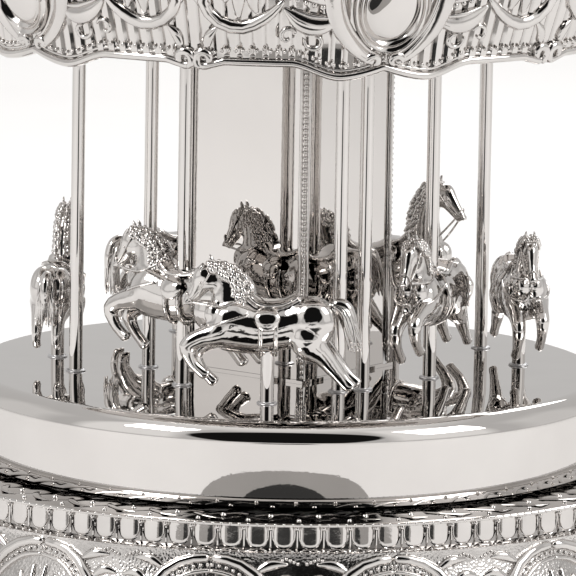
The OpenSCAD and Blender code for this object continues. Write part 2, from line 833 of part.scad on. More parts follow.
module cylinder_gear() {
  color("gold")
    difference() {
      along_x(gear_x) linear_extrude(fine_t)
        spur_teeth(gear_teeth, gear_r, 0.7, 0.95, 0.45);
      along_x(gear_x - 1) cylinder(r = 1.2 + glue, h = fine_t + 2, $fn = 32);
    }
}

module idler_arbor() {
  color("silver") {
    along_x(gear_x - 1, idler_y) cylinder(r = 1, h = wheel_x + fine_t + 1 - gear_x + 1, $fn = 32);
    along_x(gear_x, idler_y) linear_extrude(fine_t)
      rotate(22.5) spur_teeth(idler_teeth, idler_r, 0.7, 0.95, 0.45);
  }
}

module worm_wheel() {
  color("gold")
    difference() {
      along_x(wheel_x, idler_y) linear_extrude(fine_t)
        spur_teeth(wheel_teeth, wheel_r, 0.2, 0.9, 0.4);
      along_x(wheel_x - 1, idler_y) cylinder(r = 1 + glue, h = fine_t + 2, $fn = 32);
    }
}

module air_brake() {
  thread_h = 8;
  color("silver")
    translate([worm_x, worm_y, 0]) {
      translate([0, 0, axis_z - 9.4]) cylinder(r = 0.8, h = fan_z + fan_h + 1.4 - axis_z + 9.4, $fn = 32);
      // the worm: one thread, its gap facing the wheel's tooth
      translate([0, 0, axis_z - thread_h / 2])
        linear_extrude(thread_h, twist = -360 * thread_h / worm_lead, slices = 36, $fn = 8)
          rotate(-90 - 180 * thread_h / worm_lead) translate([0.5, 0]) circle(r = 1.9);
      translate([0, 0, fan_z]) {
        cylinder(r = 1.6, h = fan_h, $fn = 32);
        for (s = [-1, 1])
          translate([s < 0 ? -fan_r : 0, -0.3, 0]) cube([fan_r, 0.6, fan_h]);
      }
    }
}

felt_pads();
feet();
foot_screws();
base_plate();
plate_screws();
base_shell();
fluted_band();
base_deck();
deck_screws();
deck_bush();
thrust_washer();
movement_bedplate();
movement_screws();
comb_block();
music_comb();
comb_screws();
cylinder_brackets();
governor_frame();
winding_key();
key_arbor();
spring_barrel();
mainspring();
barrel_cover();
crown_wheel();
drive_spindle();
turntable_disc();
turntable_hub();
hub_screws();
column_core();
mirror_panels();
corner_strips();
column_plinth();
column_cap();
tie_rod();
canopy_poles();
horse_poles();
horse_posts();
pole_nuts();
horse_front();
horse_right();
horse_back_right();
horse_back_left();
horse_left();
inner_horse_left();
inner_horse_right();
inner_horse_back();
canopy_floor();
canopy_skirt();
cartouches();
canopy_cornice();
canopy_roof();
roof_ribs();
roof_nut();
finial();
music_cylinder();
cylinder_arbor();
cylinder_gear();
idler_arbor();
worm_wheel();
air_brake();
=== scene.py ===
import functools
import json
import math
import random

import bmesh
import bpy
from bpy.props import FloatProperty, FloatVectorProperty, IntProperty, PointerProperty
from mathutils import Matrix, Vector


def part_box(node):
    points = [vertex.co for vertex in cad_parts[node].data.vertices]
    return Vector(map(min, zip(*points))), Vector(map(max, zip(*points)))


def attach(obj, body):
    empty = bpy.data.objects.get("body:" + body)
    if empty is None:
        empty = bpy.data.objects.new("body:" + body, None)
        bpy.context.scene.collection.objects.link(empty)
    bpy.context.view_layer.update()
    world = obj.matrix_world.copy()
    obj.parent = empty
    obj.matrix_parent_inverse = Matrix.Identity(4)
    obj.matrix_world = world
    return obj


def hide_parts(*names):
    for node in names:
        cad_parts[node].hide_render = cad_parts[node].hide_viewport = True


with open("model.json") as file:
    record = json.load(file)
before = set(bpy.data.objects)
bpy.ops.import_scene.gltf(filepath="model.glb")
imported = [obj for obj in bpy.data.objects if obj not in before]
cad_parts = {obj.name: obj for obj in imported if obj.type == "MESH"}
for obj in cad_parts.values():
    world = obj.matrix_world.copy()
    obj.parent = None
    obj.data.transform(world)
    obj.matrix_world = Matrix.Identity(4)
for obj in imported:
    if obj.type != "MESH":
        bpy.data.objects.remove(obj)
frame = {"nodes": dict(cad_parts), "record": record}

bl_info = {
    "name": "Carousel music box",
    "version": (1, 0, 0),
    "blender": (4, 5, 0),
    "location": "3D View > Sidebar > Carousel",
    "description": "Builds the plated casing, horses, poles and canopy round the carousel's mechanism",
    "category": "Add Mesh",
}

MM = 0.001
TAU = 2 * math.pi
CARTOUCHES = 6
ROOF_RIBS = 12
ROOF_TOP_R = 7 * MM
BASE_ARCHES = 14
BASE_ARCH_TURN = 15.5
# radii at which the scrollwork's sideways measures hold
BASE_ROUND = 96.5 * MM
SKIRT_ROUND = 88 * MM
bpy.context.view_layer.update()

# poles without horses, horses on full poles and horses on posts: angle from the front, radius
PLAIN_POLES = [(-77.4, 51.6), (-82.7, 33.4), (19.8, 36), (30.8, 35.1), (123.1, 56.5), (180, 55), (-140, 36)]
# name of the CAD node: angle, radius, lift of the lowest hoof, extra turn, way it carries its head, size
HORSES = {
    "horse_front": (-5, 51.5, 3, 5, "tucked", 1),
    "horse_right": (97.1, 56.3, 3, 0, "tucked", 1),
    "horse_back_right": (151.4, 54.7, 3, 0, "proud", 1),
    "horse_back_left": (-151, 55.5, 3, 0, "proud", 1),
    "horse_left": (-98.6, 56, 3.4, 0, "proud", 0.9),
    "inner_horse_left": (-41.2, 37.5, 6.2, 8, "tucked", 1),
    "inner_horse_right": (69.5, 36.3, 4.6, 0, "tucked", 1),
    "inner_horse_back": (180, 36.5, 5, 0, "tucked", 1),
}
ON_FULL_POLES = ("inner_horse_left", "inner_horse_right", "inner_horse_back")


# ---------- sizes and finishes ----------

class CarouselSizes(bpy.types.PropertyGroup):
    """Sizes of the ornament that the frame doesn't give."""

    pole_r: FloatProperty(name="Pole radius", description="Radius of the poles and posts",
                          default=1.6 * MM, unit="LENGTH")
    disc_rounding: FloatProperty(name="Turntable rounding",
                                 description="Rounding of the turntable's upper edge",
                                 default=4.8 * MM, unit="LENGTH")
    skirt_low_r: FloatProperty(name="Skirt radius",
                               description="Radius of the skirt at its lower edge",
                               default=82.5 * MM, unit="LENGTH")
    column_r: FloatProperty(name="Column half diagonal",
                            description="From the column's axis to its corners",
                            default=25.2 * MM, unit="LENGTH")
    column_turn: FloatProperty(name="Column turn", description="Angle of the column's front corner",
                               default=math.radians(8.2), subtype="ANGLE")
    cartouche_turn: FloatProperty(name="Cartouche turn", description="Angle of the first cartouche",
                                  default=math.radians(14.6), subtype="ANGLE")
    flutes: IntProperty(name="Flutes", description="Flutes round the skirt", default=176, min=60, max=240)
    tongues: IntProperty(name="Tongues", description="Tongues round the base's band",
                         default=96, min=48, max=120)
    voxel: FloatProperty(name="Horse detail", description="Grain at which a horse's body is blended",
                         default=0.42 * MM, unit="LENGTH")


class CarouselFinishes(bpy.types.PropertyGroup):
    """Colours of the metals and the felt."""

    silver: FloatVectorProperty(name="Silver plate", description="Colour of the bright plate",
                                subtype="COLOR", size=3, default=(0.68, 0.655, 0.635))
    tarnish: FloatVectorProperty(name="Tarnish", description="Colour of the plate in the relief's hollows",
                                 subtype="COLOR", size=3, default=(0.10, 0.09, 0.085))
    brass: FloatVectorProperty(name="Brass", description="Colour of the movement's brass",
                               subtype="COLOR", size=3, default=(0.80, 0.58, 0.24))
    steel: FloatVectorProperty(name="Steel", description="Colour of screws and arbors",
                               subtype="COLOR", size=3, default=(0.56, 0.57, 0.58))
    spring: FloatVectorProperty(name="Spring steel", description="Colour of the comb and the mainspring",
                                subtype="COLOR", size=3, default=(0.38, 0.42, 0.50))
    zinc: FloatVectorProperty(name="Zinc", description="Colour of the cast bedplate and cores",
                              subtype="COLOR", size=3, default=(0.52, 0.53, 0.54))


@functools.lru_cache(maxsize=None)
def box(node):
    """(lowest, highest) corner of a CAD node."""
    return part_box(node)


def sizes():
    return bpy.context.scene.carousel_sizes


def finishes():
    return bpy.context.scene.carousel_finishes


# ---------- materials ----------

def start_material(name):
    material = bpy.data.materials.new(name)
    material.use_nodes = True
    shader = material.node_tree.nodes["Principled BSDF"]
    return material, material.node_tree, shader


def noise(tree, scale, detail=4.0, stretch=(1, 1, 1)):
    """A noise on the object's own coordinates, in cells per metre."""
    place = tree.nodes.new("ShaderNodeTexCoord")
    mapping = tree.nodes.new("ShaderNodeMapping")
    mapping.inputs["Scale"].default_value = stretch
    texture = tree.nodes.new("ShaderNodeTexNoise")
    texture.inputs["Scale"].default_value = scale
    texture.inputs["Detail"].default_value = detail
    tree.links.new(place.outputs["Object"], mapping.inputs["Vector"])
    tree.links.new(mapping.outputs["Vector"], texture.inputs["Vector"])
    return texture.outputs["Fac"]


def cells(tree, scale):
    """Rounded cells on the object's own coordinates, per metre."""
    place = tree.nodes.new("ShaderNodeTexCoord")
    texture = tree.nodes.new("ShaderNodeTexVoronoi")
    texture.inputs["Scale"].default_value = scale
    tree.links.new(place.outputs["Object"], texture.inputs["Vector"])
    return texture.outputs["Distance"]


def ranged(tree, value, low, high, start=0.3, end=0.7):
    """value from start..end spread over low..high."""
    node = tree.nodes.new("ShaderNodeMapRange")
    node.inputs["From Min"].default_value = start
    node.inputs["From Max"].default_value = end
    node.inputs["To Min"].default_value = low
    node.inputs["To Max"].default_value = high
    tree.links.new(value, node.inputs["Value"])
    return node.outputs["Result"]


def two_colours(tree, value, first, second):
    node = tree.nodes.new("ShaderNodeMix")
    node.data_type = "RGBA"
    node.inputs["A"].default_value = (*first, 1)
    node.inputs["B"].default_value = (*second, 1)
    tree.links.new(value, node.inputs["Factor"])
    return node.outputs["Result"]


def bump(tree, height, distance, strength=1.0, normal=None):
    node = tree.nodes.new("ShaderNodeBump")
    node.inputs["Distance"].default_value = distance
    node.inputs["Strength"].default_value = strength
    tree.links.new(height, node.inputs["Height"])
    if normal:
        tree.links.new(normal, node.inputs["Normal"])
    return node.outputs["Normal"]


def darker(colour, factor):
    return tuple(channel * factor for channel in colour)


def plate(name, rough=(0.006, 0.014), haze=0.96, ripple=1e-6, hollow=0.0, stipple=0.0):
    """Bright plate. hollow is how much tarnish lies in hollows, stipple the depth of a punched ground."""
    material, tree, shader = start_material(name)
    silver = tuple(finishes().silver)
    colour = two_colours(tree, ranged(tree, noise(tree, 90), 0, 1), darker(silver, haze), silver)
    if hollow:
        geometry = tree.nodes.new("ShaderNodeNewGeometry")
        depth = ranged(tree, geometry.outputs["Pointiness"], hollow, 0, 0.44, 0.5)
        mix = tree.nodes.new("ShaderNodeMix")
        mix.data_type = "RGBA"
        mix.inputs["B"].default_value = (*finishes().tarnish, 1)
        tree.links.new(depth, mix.inputs["Factor"])
        tree.links.new(colour, mix.inputs["A"])
        colour = mix.outputs["Result"]
    tree.links.new(colour, shader.inputs["Base Color"])
    tree.links.new(ranged(tree, noise(tree, 260, 5), *rough), shader.inputs["Roughness"])
    normal = bump(tree, noise(tree, 420, 3), ripple)
    if stipple:
        normal = bump(tree, cells(tree, 1500), stipple, 1.0, normal)
    tree.links.new(normal, shader.inputs["Normal"])
    shader.inputs["Metallic"].default_value = 1.0
    return material


def machined(name, colour, rough, lines=(1, 1, 30), stain=0.7):
    """Turned or ground metal with fine tool lines and a little staining."""
    material, tree, shader = start_material(name)
    stains = ranged(tree, noise(tree, 160, 6), 0, 1, 0.35, 0.65)
    tree.links.new(two_colours(tree, stains, darker(colour, stain), colour), shader.inputs["Base Color"])
    tooling = noise(tree, 260, 3, lines)
    tree.links.new(ranged(tree, tooling, rough * 0.7, rough * 1.4), shader.inputs["Roughness"])
    tree.links.new(bump(tree, tooling, 8e-6), shader.inputs["Normal"])
    shader.inputs["Metallic"].default_value = 1.0
    return material


def soft_finish(name, first, second, rough, scale, depth, sheen=0.0):
    """Felt and moulded nylon."""
    material, tree, shader = start_material(name)
    grain = noise(tree, scale, 8)
    tree.links.new(two_colours(tree, ranged(tree, grain, 0, 1), first, second), shader.inputs["Base Color"])
    tree.links.new(ranged(tree, grain, rough * 0.9, min(1, rough * 1.1)), shader.inputs["Roughness"])
    tree.links.new(bump(tree, grain, depth), shader.inputs["Normal"])
    shader.inputs["Sheen Weight"].default_value = sheen
    return material


def material(name):
    """The named finish, made once."""
    if name in bpy.data.materials:
        return bpy.data.materials[name]
    tone = finishes()
    makers = {
        "polished_plate": lambda: plate(name),
        "horse_plate": lambda: plate(name, (0.012, 0.04), 0.9, 60e-6, 0.75),
        "relief_plate": lambda: plate(name, (0.03, 0.08), 0.88, 25e-6, 0.7),
        "punched_plate": lambda: plate(name, (0.10, 0.24), 0.72, 10e-6, 0.3, 90e-6),
        "fluted_plate": lambda: plate(name, (0.05, 0.11), 0.94, 8e-6, 0.5),
        "mirror_sheet": lambda: plate(name, (0.01, 0.03), 0.98, 3e-6),
        "steel": lambda: machined(name, tuple(tone.steel), 0.26),
        "comb_steel": lambda: machined(name, tuple(tone.spring), 0.3, (1, 25, 1)),
        "brass": lambda: machined(name, tuple(tone.brass), 0.22),
        "zinc": lambda: machined(name, tuple(tone.zinc), 0.42, (2, 2, 2)),
        "nylon": lambda: soft_finish(name, (0.72, 0.69, 0.6), (0.84, 0.82, 0.75), 0.5, 500, 6e-6),
        "felt": lambda: soft_finish(name, (0.012, 0.012, 0.014), (0.05, 0.05, 0.055), 0.95, 2600, 120e-6,
                                    sheen=0.6),
    }
    return makers[name]()


PLATE_SLOT = "silver_plate"
# finish of a slot whose name isn't that of a finish
SLOT_FINISH = {PLATE_SLOT: "polished_plate", "mirror": "mirror_sheet"}


# ---------- mesh tools ----------

def loose_mesh(name, bm):
    mesh = bpy.data.meshes.new(name)
    bm.to_mesh(mesh)
    bm.free()
    return mesh


def merge(bm, mesh, matrix=None):
    """Adds mesh to bm and lets go of it."""
    if matrix is not None:
        mesh.transform(matrix)
    bm.from_mesh(mesh)
    bpy.data.meshes.remove(mesh)


def piece(name, bm, finish, body, replaced=(), sharp=42):
    """Turns a bmesh into a finished, plated piece that rides on body and stands for the replaced nodes."""
    bmesh.ops.recalc_face_normals(bm, faces=bm.faces)
    mesh = bpy.data.meshes.new(name)
    bm.to_mesh(mesh)
    bm.free()
    mesh.shade_smooth()
    mesh.set_sharp_from_angle(angle=math.radians(sharp))
    mesh.materials.append(material(finish))
    made = bpy.data.objects.new(name, mesh)
    bpy.context.scene.collection.objects.link(made)
    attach(made, body)
    if replaced:
        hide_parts(*replaced)


def along(values, t):
    """Value at t, from 0 to 1, on a smooth curve through evenly spaced numbers or vectors."""
    last = len(values) - 1
    place = min(max(t, 0.0), 0.999999) * last
    i = int(place)
    f = place - i
    a, b, c, d = values[max(i - 1, 0)], values[i], values[i + 1], values[min(i + 2, last)]
    return b + 0.5 * f * ((c - a) + f * ((2 * a - 5 * b + 4 * c - d) + f * (3 * (b - c) + d - a)))


def radial(point):
    """Outward direction on the carousel's walls."""
    return Vector((point.x, point.y, 0)).normalized()


def tube(bm, path, radii, up=None, steps=14, sides=8, flat=1.0):
    """A round-ended stroke along path. flat squeezes it along up, which is outward if not given."""
    path = [Vector(p) for p in path]
    length = sum((b - a).length for a, b in zip(path, path[1:]))
    stroke = bmesh.new()
    grid = bmesh.ops.create_grid(stroke, x_segments=steps, y_segments=sides, size=0.5)["verts"]
    rings = {}
    for vert in grid:
        t = vert.co.x + 0.5
        key = round(t, 5)
        if key not in rings:
            s = t + 0.6 * (0.5 - 0.5 * math.cos(math.pi * t) - t)
            centre = along(path, s)
            tangent = (along(path, s + 0.01) - along(path, s - 0.01)).normalized()
            top = radial(centre) if up is None else Vector(up)
            side = tangent.cross(top).normalized()
            top = side.cross(tangent)
            width = max(along(radii, s), 1e-6)
            inset = 1 - min(min(s, 1 - s) * length / width, 1)
            rings[key] = (centre, side, top, width * math.sqrt(max(0, 1 - inset * inset)))
        centre, side, top, width = rings[key]
        turn = (vert.co.y + 0.5) * TAU
        vert.co = centre + side * (width * math.cos(turn)) + top * (width * flat * math.sin(turn))
    bmesh.ops.remove_doubles(stroke, verts=grid, dist=1e-7)
    merge(bm, loose_mesh("stroke", stroke))


@functools.lru_cache(maxsize=None)
def unit_ball(fine):
    bm = bmesh.new()
    if fine:
        bmesh.ops.create_icosphere(bm, subdivisions=3, radius=1)
    else:
        bmesh.ops.create_uvsphere(bm, u_segments=7, v_segments=5, radius=1)
    return loose_mesh("unit_ball", bm)


def ball(bm, centre, radii):
    merge(bm, unit_ball(True).copy(), Matrix.Translation(centre) @ Matrix.Diagonal((*radii, 1)))


def bead(bm, centre, radius):
    """A small round bead with few faces."""
    merge(bm, unit_ball(False).copy(), Matrix.Translation(centre) @ Matrix.Scale(radius, 4))


def lathe(bm, outline, steps=288, shut=True):
    """Spins an outline of (radius, height) round Z."""
    verts = [bm.verts.new((r, 0, z)) for r, z in outline]
    pairs = list(zip(verts, verts[1:]))
    if shut:
        pairs.append((verts[-1], verts[0]))
    edges = [bm.edges.new(pair) for pair in pairs]
    bmesh.ops.spin(bm, geom=verts + edges, cent=(0, 0, 0), axis=(0, 0, 1), angle=TAU, steps=steps,
                   use_merge=True, use_duplicate=False)
    bmesh.ops.remove_doubles(bm, verts=bm.verts, dist=1e-6)


def smooth_outline(points, count):
    """count + 1 points on a smooth curve through points of (radius, height)."""
    vectors = [Vector(p) for p in points]
    return [tuple(along(vectors, i / count)) for i in range(count + 1)]


def quarter(centre_r, centre_z, radius, count=10):
    """A quarter round from outward to upward."""
    turns = [math.pi / 2 * i / count for i in range(count + 1)]
    return [(centre_r + radius * math.cos(a), centre_z + radius * math.sin(a)) for a in turns]


def at(angle, radius, z):
    """Point at an angle from the front, in degrees."""
    a = math.radians(angle)
    return Vector((radius * math.sin(a), -radius * math.cos(a), z))


def angle_of(point):
    """Angle from the front towards +X, in degrees."""
    return math.degrees(math.atan2(point.x, -point.y))


def repeated(bm, source, count, start=0.0):
    """Copies the mesh in source into bm, count times round Z."""
    for i in range(count):
        merge(bm, source.copy(), Matrix.Rotation(math.radians(start) + i * TAU / count, 4, "Z"))


def curl(u, v, size, start, turn, tail=0.2, count=9):
    """Points of a scroll round (u, v), winding in from size to tail of it. Angles in degrees."""
    points = []
    for k in range(count):
        reach = size * (1 - (1 - tail) * k / (count - 1))
        a = math.radians(start + turn * k / (count - 1))
        points.append((u + reach * math.cos(a), v + reach * math.sin(a)))
    return points


def strokes_on(bm, wall, strokes, flip=False, steps=14, sides=8):
    """Raised strokes on a wall. A stroke is (points, radii, flat): points (sideways, height) in mm."""
    for points, radii, flat in strokes:
        path = [wall(-u if flip else u, v) for u, v in points]
        tube(bm, path, [r * MM for r in radii], None, steps, sides, flat)


# ---------- base ----------

@functools.lru_cache(maxsize=None)
def base_outline():
    """Outer wall of the base, from foot to band, as (radius, height) in metres."""
    low, high = box("base_shell")
    foot_r, z = high.x, low.z
    rise = box("fluted_band")[0].z - z
    # mm out from the foot's radius, share of the height
    steps = [(-0.6, 0.0), (0, 0.038), (-0.6, 0.076), (-3.4, 0.12), (-4.2, 0.19), (-3, 0.288), (-1.8, 0.41),
             (-1.8, 0.53), (-3, 0.65), (-5.2, 0.79), (-7, 0.935), (-7.3, 1.0)]
    return [(foot_r + r * MM, z + h * rise) for r, h in steps]


def base_wall(u, v, lift=0.1):
    """Point on the base's wall: u mm along it, v mm up from the shell's foot."""
    outline = base_outline()
    z = outline[0][1] + v * MM
    radius = outline[-1][0]
    for (r0, z0), (r1, z1) in zip(outline, outline[1:]):
        if z0 <= z <= z1:
            radius = r0 + (r1 - r0) * (z - z0) / (z1 - z0)
    return at(math.degrees(u * MM / BASE_ROUND), radius + lift * MM, z)


BASE_STROKES = [
    # half of the broad arch, curling in at its foot
    ([(0.4, 35.4), (-6, 34.6), (-11.6, 31.2), (-15.4, 25.4), (-15.2, 19.4), (-11, 16.2), (-7.4, 18.6),
      (-8.4, 22), (-10.8, 21.6)], [1.1, 1.3, 1.5, 1.5, 1.4, 1.2, 1.0, 0.9, 0.8], 0.8),
    ([(0.2, 32.6), (-5.2, 31.6), (-9.8, 28.4), (-12.4, 24.2)], [0.5, 0.6, 0.6, 0.3], 1.2),
    # shell ribs under the arch
    ([(-0.9, 16), (-1.4, 23), (-1.7, 30.4)], [0.5, 1.1, 0.5], 0.6),
    ([(-2.2, 16), (-3.8, 22.6), (-5.2, 28.6)], [0.5, 1.1, 0.5], 0.6),
    ([(-3.2, 15), (-5.6, 19.6), (-7.8, 25.2)], [0.5, 1.0, 0.5], 0.6),
    # leaves on the arch's back
    ([(-10.8, 32.4), (-14.4, 34.2), (-18.4, 34.4)], [0.5, 1.3, 0.3], 0.7),
    ([(-14.6, 29.0), (-17.6, 31.0), (-21.0, 30.4)], [0.5, 1.3, 0.3], 0.7),
    ([(-16.0, 24.4), (-19.0, 25.8), (-21.4, 23.6)], [0.5, 1.2, 0.3], 0.7),
    # long low S-scroll over the foot moulding
    ([(-21.0, 8.6), (-16, 7.0), (-11, 9.2), (-6, 11.8), (-2.4, 9.4), (-3.4, 6.8), (-5.6, 7.6)],
     [0.6, 1.2, 1.3, 1.1, 0.9, 0.8, 0.8], 0.85),
    (curl(-18.4, 13.4, 3.4, -60, 290, 0.2), [0.5, 1.0, 1.0, 0.7], 0.85),
    ([(-12.4, 11.0), (-14.4, 13.6), (-13.2, 15.4)], [0.3, 0.9, 0.3], 0.7),
]


def base_relief_sector():
    """One arch of the base's scrollwork, with both its halves."""
    bm = bmesh.new()
    for flip in (False, True):
        strokes_on(bm, base_wall, BASE_STROKES, flip)
        side = -1 if flip else 1
        for k in range(13):
            a = math.radians(92 + 7.2 * k)
            bead(bm, base_wall(side * 13.9 * math.cos(a), 20.4 + 13.4 * math.sin(a)), 0.5 * MM)
        for k in range(7):
            bead(bm, base_wall(side * (-21 + 3.2 * k), 4.9 + 0.5 * math.sin(k)), 0.8 * MM)
            bead(bm, base_wall(side * (-20.6 + 0.9 * k), 35.6 - 0.35 * abs(k - 3)), 0.45 * MM)
    return loose_mesh("base_relief_sector", bm)


class CarouselBase(bpy.types.Operator):
    """Model the base: casing, scrollwork, band, ledge and feet"""
    bl_idname = "carousel.base"
    bl_label = "Base"

    def execute(self, context):
        self.casing()
        self.scrollwork()
        self.band()
        self.ledge()
        self.feet()
        return {"FINISHED"}

    def casing(self):
        outer = base_outline()
        wall = 2.2 * MM
        inner = [(r - wall, z) for r, z in reversed(outer[2:])]
        foot = (box("base_plate")[1].x, box("base_shell")[0].z)
        bm = bmesh.new()
        lathe(bm, [outer[0]] + smooth_outline(outer, 34)[1:] + inner + [foot], 360)
        piece("base_casing", bm, "punched_plate", "base", ("base_shell",), 60)

    def scrollwork(self):
        bm = bmesh.new()
        repeated(bm, base_relief_sector(), BASE_ARCHES, BASE_ARCH_TURN)
        piece("base_scrollwork", bm, "relief_plate", "base", (), 70)

    def band(self):
        low, high = box("fluted_band")
        r, z0, z1 = high.x, low.z, high.z
        count = sizes().tongues
        pitch = 360 / count
        bm = bmesh.new()
        ground = r - 1.5 * MM
        inner = box("base_deck")[1].x
        lathe(bm, [(inner, z0), (r - 0.6 * MM, z0), (r - 0.25 * MM, z0 + 0.5 * MM), (ground, z0 + 1.0 * MM),
                   (ground, z1 - 1.1 * MM), (r - 0.3 * MM, z1 - 0.7 * MM), (r - 0.2 * MM, z1 - 0.3 * MM),
                   (r - 0.8 * MM, z1), (inner, z1)], 384)
        unit = bmesh.new()
        top, foot = z1 - 0.7 * MM, z0 + 0.8 * MM
        for vert in bmesh.ops.create_grid(unit, x_segments=8, y_segments=12, size=0.5)["verts"]:
            across, up = vert.co.x * 2, vert.co.y + 0.5
            arch = max(0.0, 1 - up / 0.34)
            half = 2.3 * MM * math.sqrt(max(0.0, 1 - arch ** 2)) + 0.02 * MM
            proud = 0.42 * MM * (1 - across ** 6) * min(1, 8 * up) ** 0.5
            vert.co = at(math.degrees(across * half / r), ground + proud, foot + (top - foot) * up)
        u = math.degrees(2.45 * MM / r)
        tube(unit, [at(-u, ground, top), at(-u, ground, foot + 2.2 * MM), at(0, ground, foot - 0.1 * MM),
                    at(u, ground, foot + 2.2 * MM), at(u, ground, top)], [0.2 * MM] * 3, None, 14, 5, 1.6)
        tube(unit, [at(pitch / 2, ground, top), at(pitch / 2, ground, foot)],
             [0.34 * MM, 0.24 * MM, 0.3 * MM], None, 5, 5, 1.5)
        bead(unit, at(pitch / 2, ground + 0.5 * MM, top - 0.5 * MM), 0.62 * MM)
        repeated(bm, loose_mesh("band_unit", unit), count)
        for k in range(count * 3):
            bead(bm, at(k * pitch / 3, r - 0.55 * MM, z1 - 0.42 * MM), 0.45 * MM)
            bead(bm, at(k * pitch / 3, r - 0.65 * MM, z0 + 0.35 * MM), 0.42 * MM)
        piece("tongued_band", bm, "relief_plate", "base", ("fluted_band",), 55)

    def ledge(self):
        low, high = box("base_deck")
        top = high.z
        start = box("turntable_disc")[1].x - 4 * MM
        rows = 22
        bore = 5.03 * MM
        outline = [(bore, low.z), (9 * MM, low.z), (9 * MM, top - 2.4 * MM), (high.x, top - 2.4 * MM)]
        outline += [(high.x - (high.x - start) * i / rows, top - 0.05 * MM) for i in range(rows + 1)]
        outline += [(bore, top - 0.05 * MM)]
        bm = bmesh.new()
        lathe(bm, outline, 576)
        for vert in bm.verts:
            r = math.hypot(vert.co.x, vert.co.y)
            if vert.co.z < top - 1 * MM or r < start + 0.5 * MM or r > high.x - 0.2 * MM:
                continue
            a = math.radians(angle_of(vert.co))
            across = (r - start) / (high.x - start)
            leaf = abs(math.sin(24 * a + 5.5 * across)) ** 0.7
            vein = abs(math.sin(48 * a - 7 * across * (1 - across)))
            swell = math.sin(math.pi * min(1, across * 1.05)) ** 0.6
            vert.co.z += 0.42 * MM * (0.7 * leaf * swell + 0.3 * vein * swell) - 0.55 * MM
        piece("floral_ledge", bm, "relief_plate", "base", ("base_deck",), 75)
        bm = bmesh.new()
        for k in range(48):
            a = k * 7.5
            tube(bm, [at(a, 80.5 * MM, top - 0.5 * MM), at(a + 1.6, 84 * MM, top - 0.2 * MM),
                      at(a + 4.6, 87.4 * MM, top - 0.2 * MM), at(a + 7.2, 87.6 * MM, top - 0.3 * MM)],
                 [0.3 * MM, 0.8 * MM, 0.75 * MM, 0.3 * MM], (0, 0, 1), 12, 6, 0.25)
            bead(bm, at(a + 5.4, 83.4 * MM, top - 0.55 * MM), 0.8 * MM)
            bead(bm, at(a + 2.2, 88.8 * MM, top - 0.4 * MM), 0.62 * MM)
        piece("ledge_foliage", bm, "relief_plate", "base", (), 75)

    def feet(self):
        low, high = box("feet")
        z, h = low.z, high.z - low.z
        unit = bmesh.new()
        # radius in mm, share of the height
        outline = [(8.0, 0), (8.8, 0.10), (8.2, 0.26), (6.3, 0.38), (5.9, 0.5), (7.2, 0.66), (9.6, 0.8),
                   (10.3, 0.93), (10.3, 1.0)]
        wall = [(r * MM, z + t * h) for r, t in smooth_outline(outline, 30)]
        lathe(unit, [(0, z)] + wall + [(0, z + h)], 64)
        for vert in unit.verts:
            r = math.hypot(vert.co.x, vert.co.y)
            t = (vert.co.z - z) / h
            if r > 3 * MM and 0.02 < t < 0.9:
                gadroon = abs(math.sin(8 * math.atan2(vert.co.y, vert.co.x)))
                vert.co.xy *= 1 + 0.05 * (gadroon - 1) * math.sin(math.pi * t)
        for k in range(8):
            a = k * 45
            leaf = [at(a, r * MM, z + t * h) for r, t in ((6.0, 0.5), (8.4, 0.68), (10.2, 0.86))]
            tube(unit, leaf, [0.3 * MM, 1.3 * MM, 0.4 * MM], None, 10, 8, 0.6)
        source = loose_mesh("foot", unit)
        bm = bmesh.new()
        ring_r = (high.x - 10.4 * MM) * math.sqrt(2)
        for k in range(4):
            merge(bm, source.copy(), Matrix.Translation(at(45 + 90 * k, ring_r, 0)))
        piece("gadrooned_feet", bm, "relief_plate", "base", ("feet",), 50)


# ---------- turntable, column and poles ----------

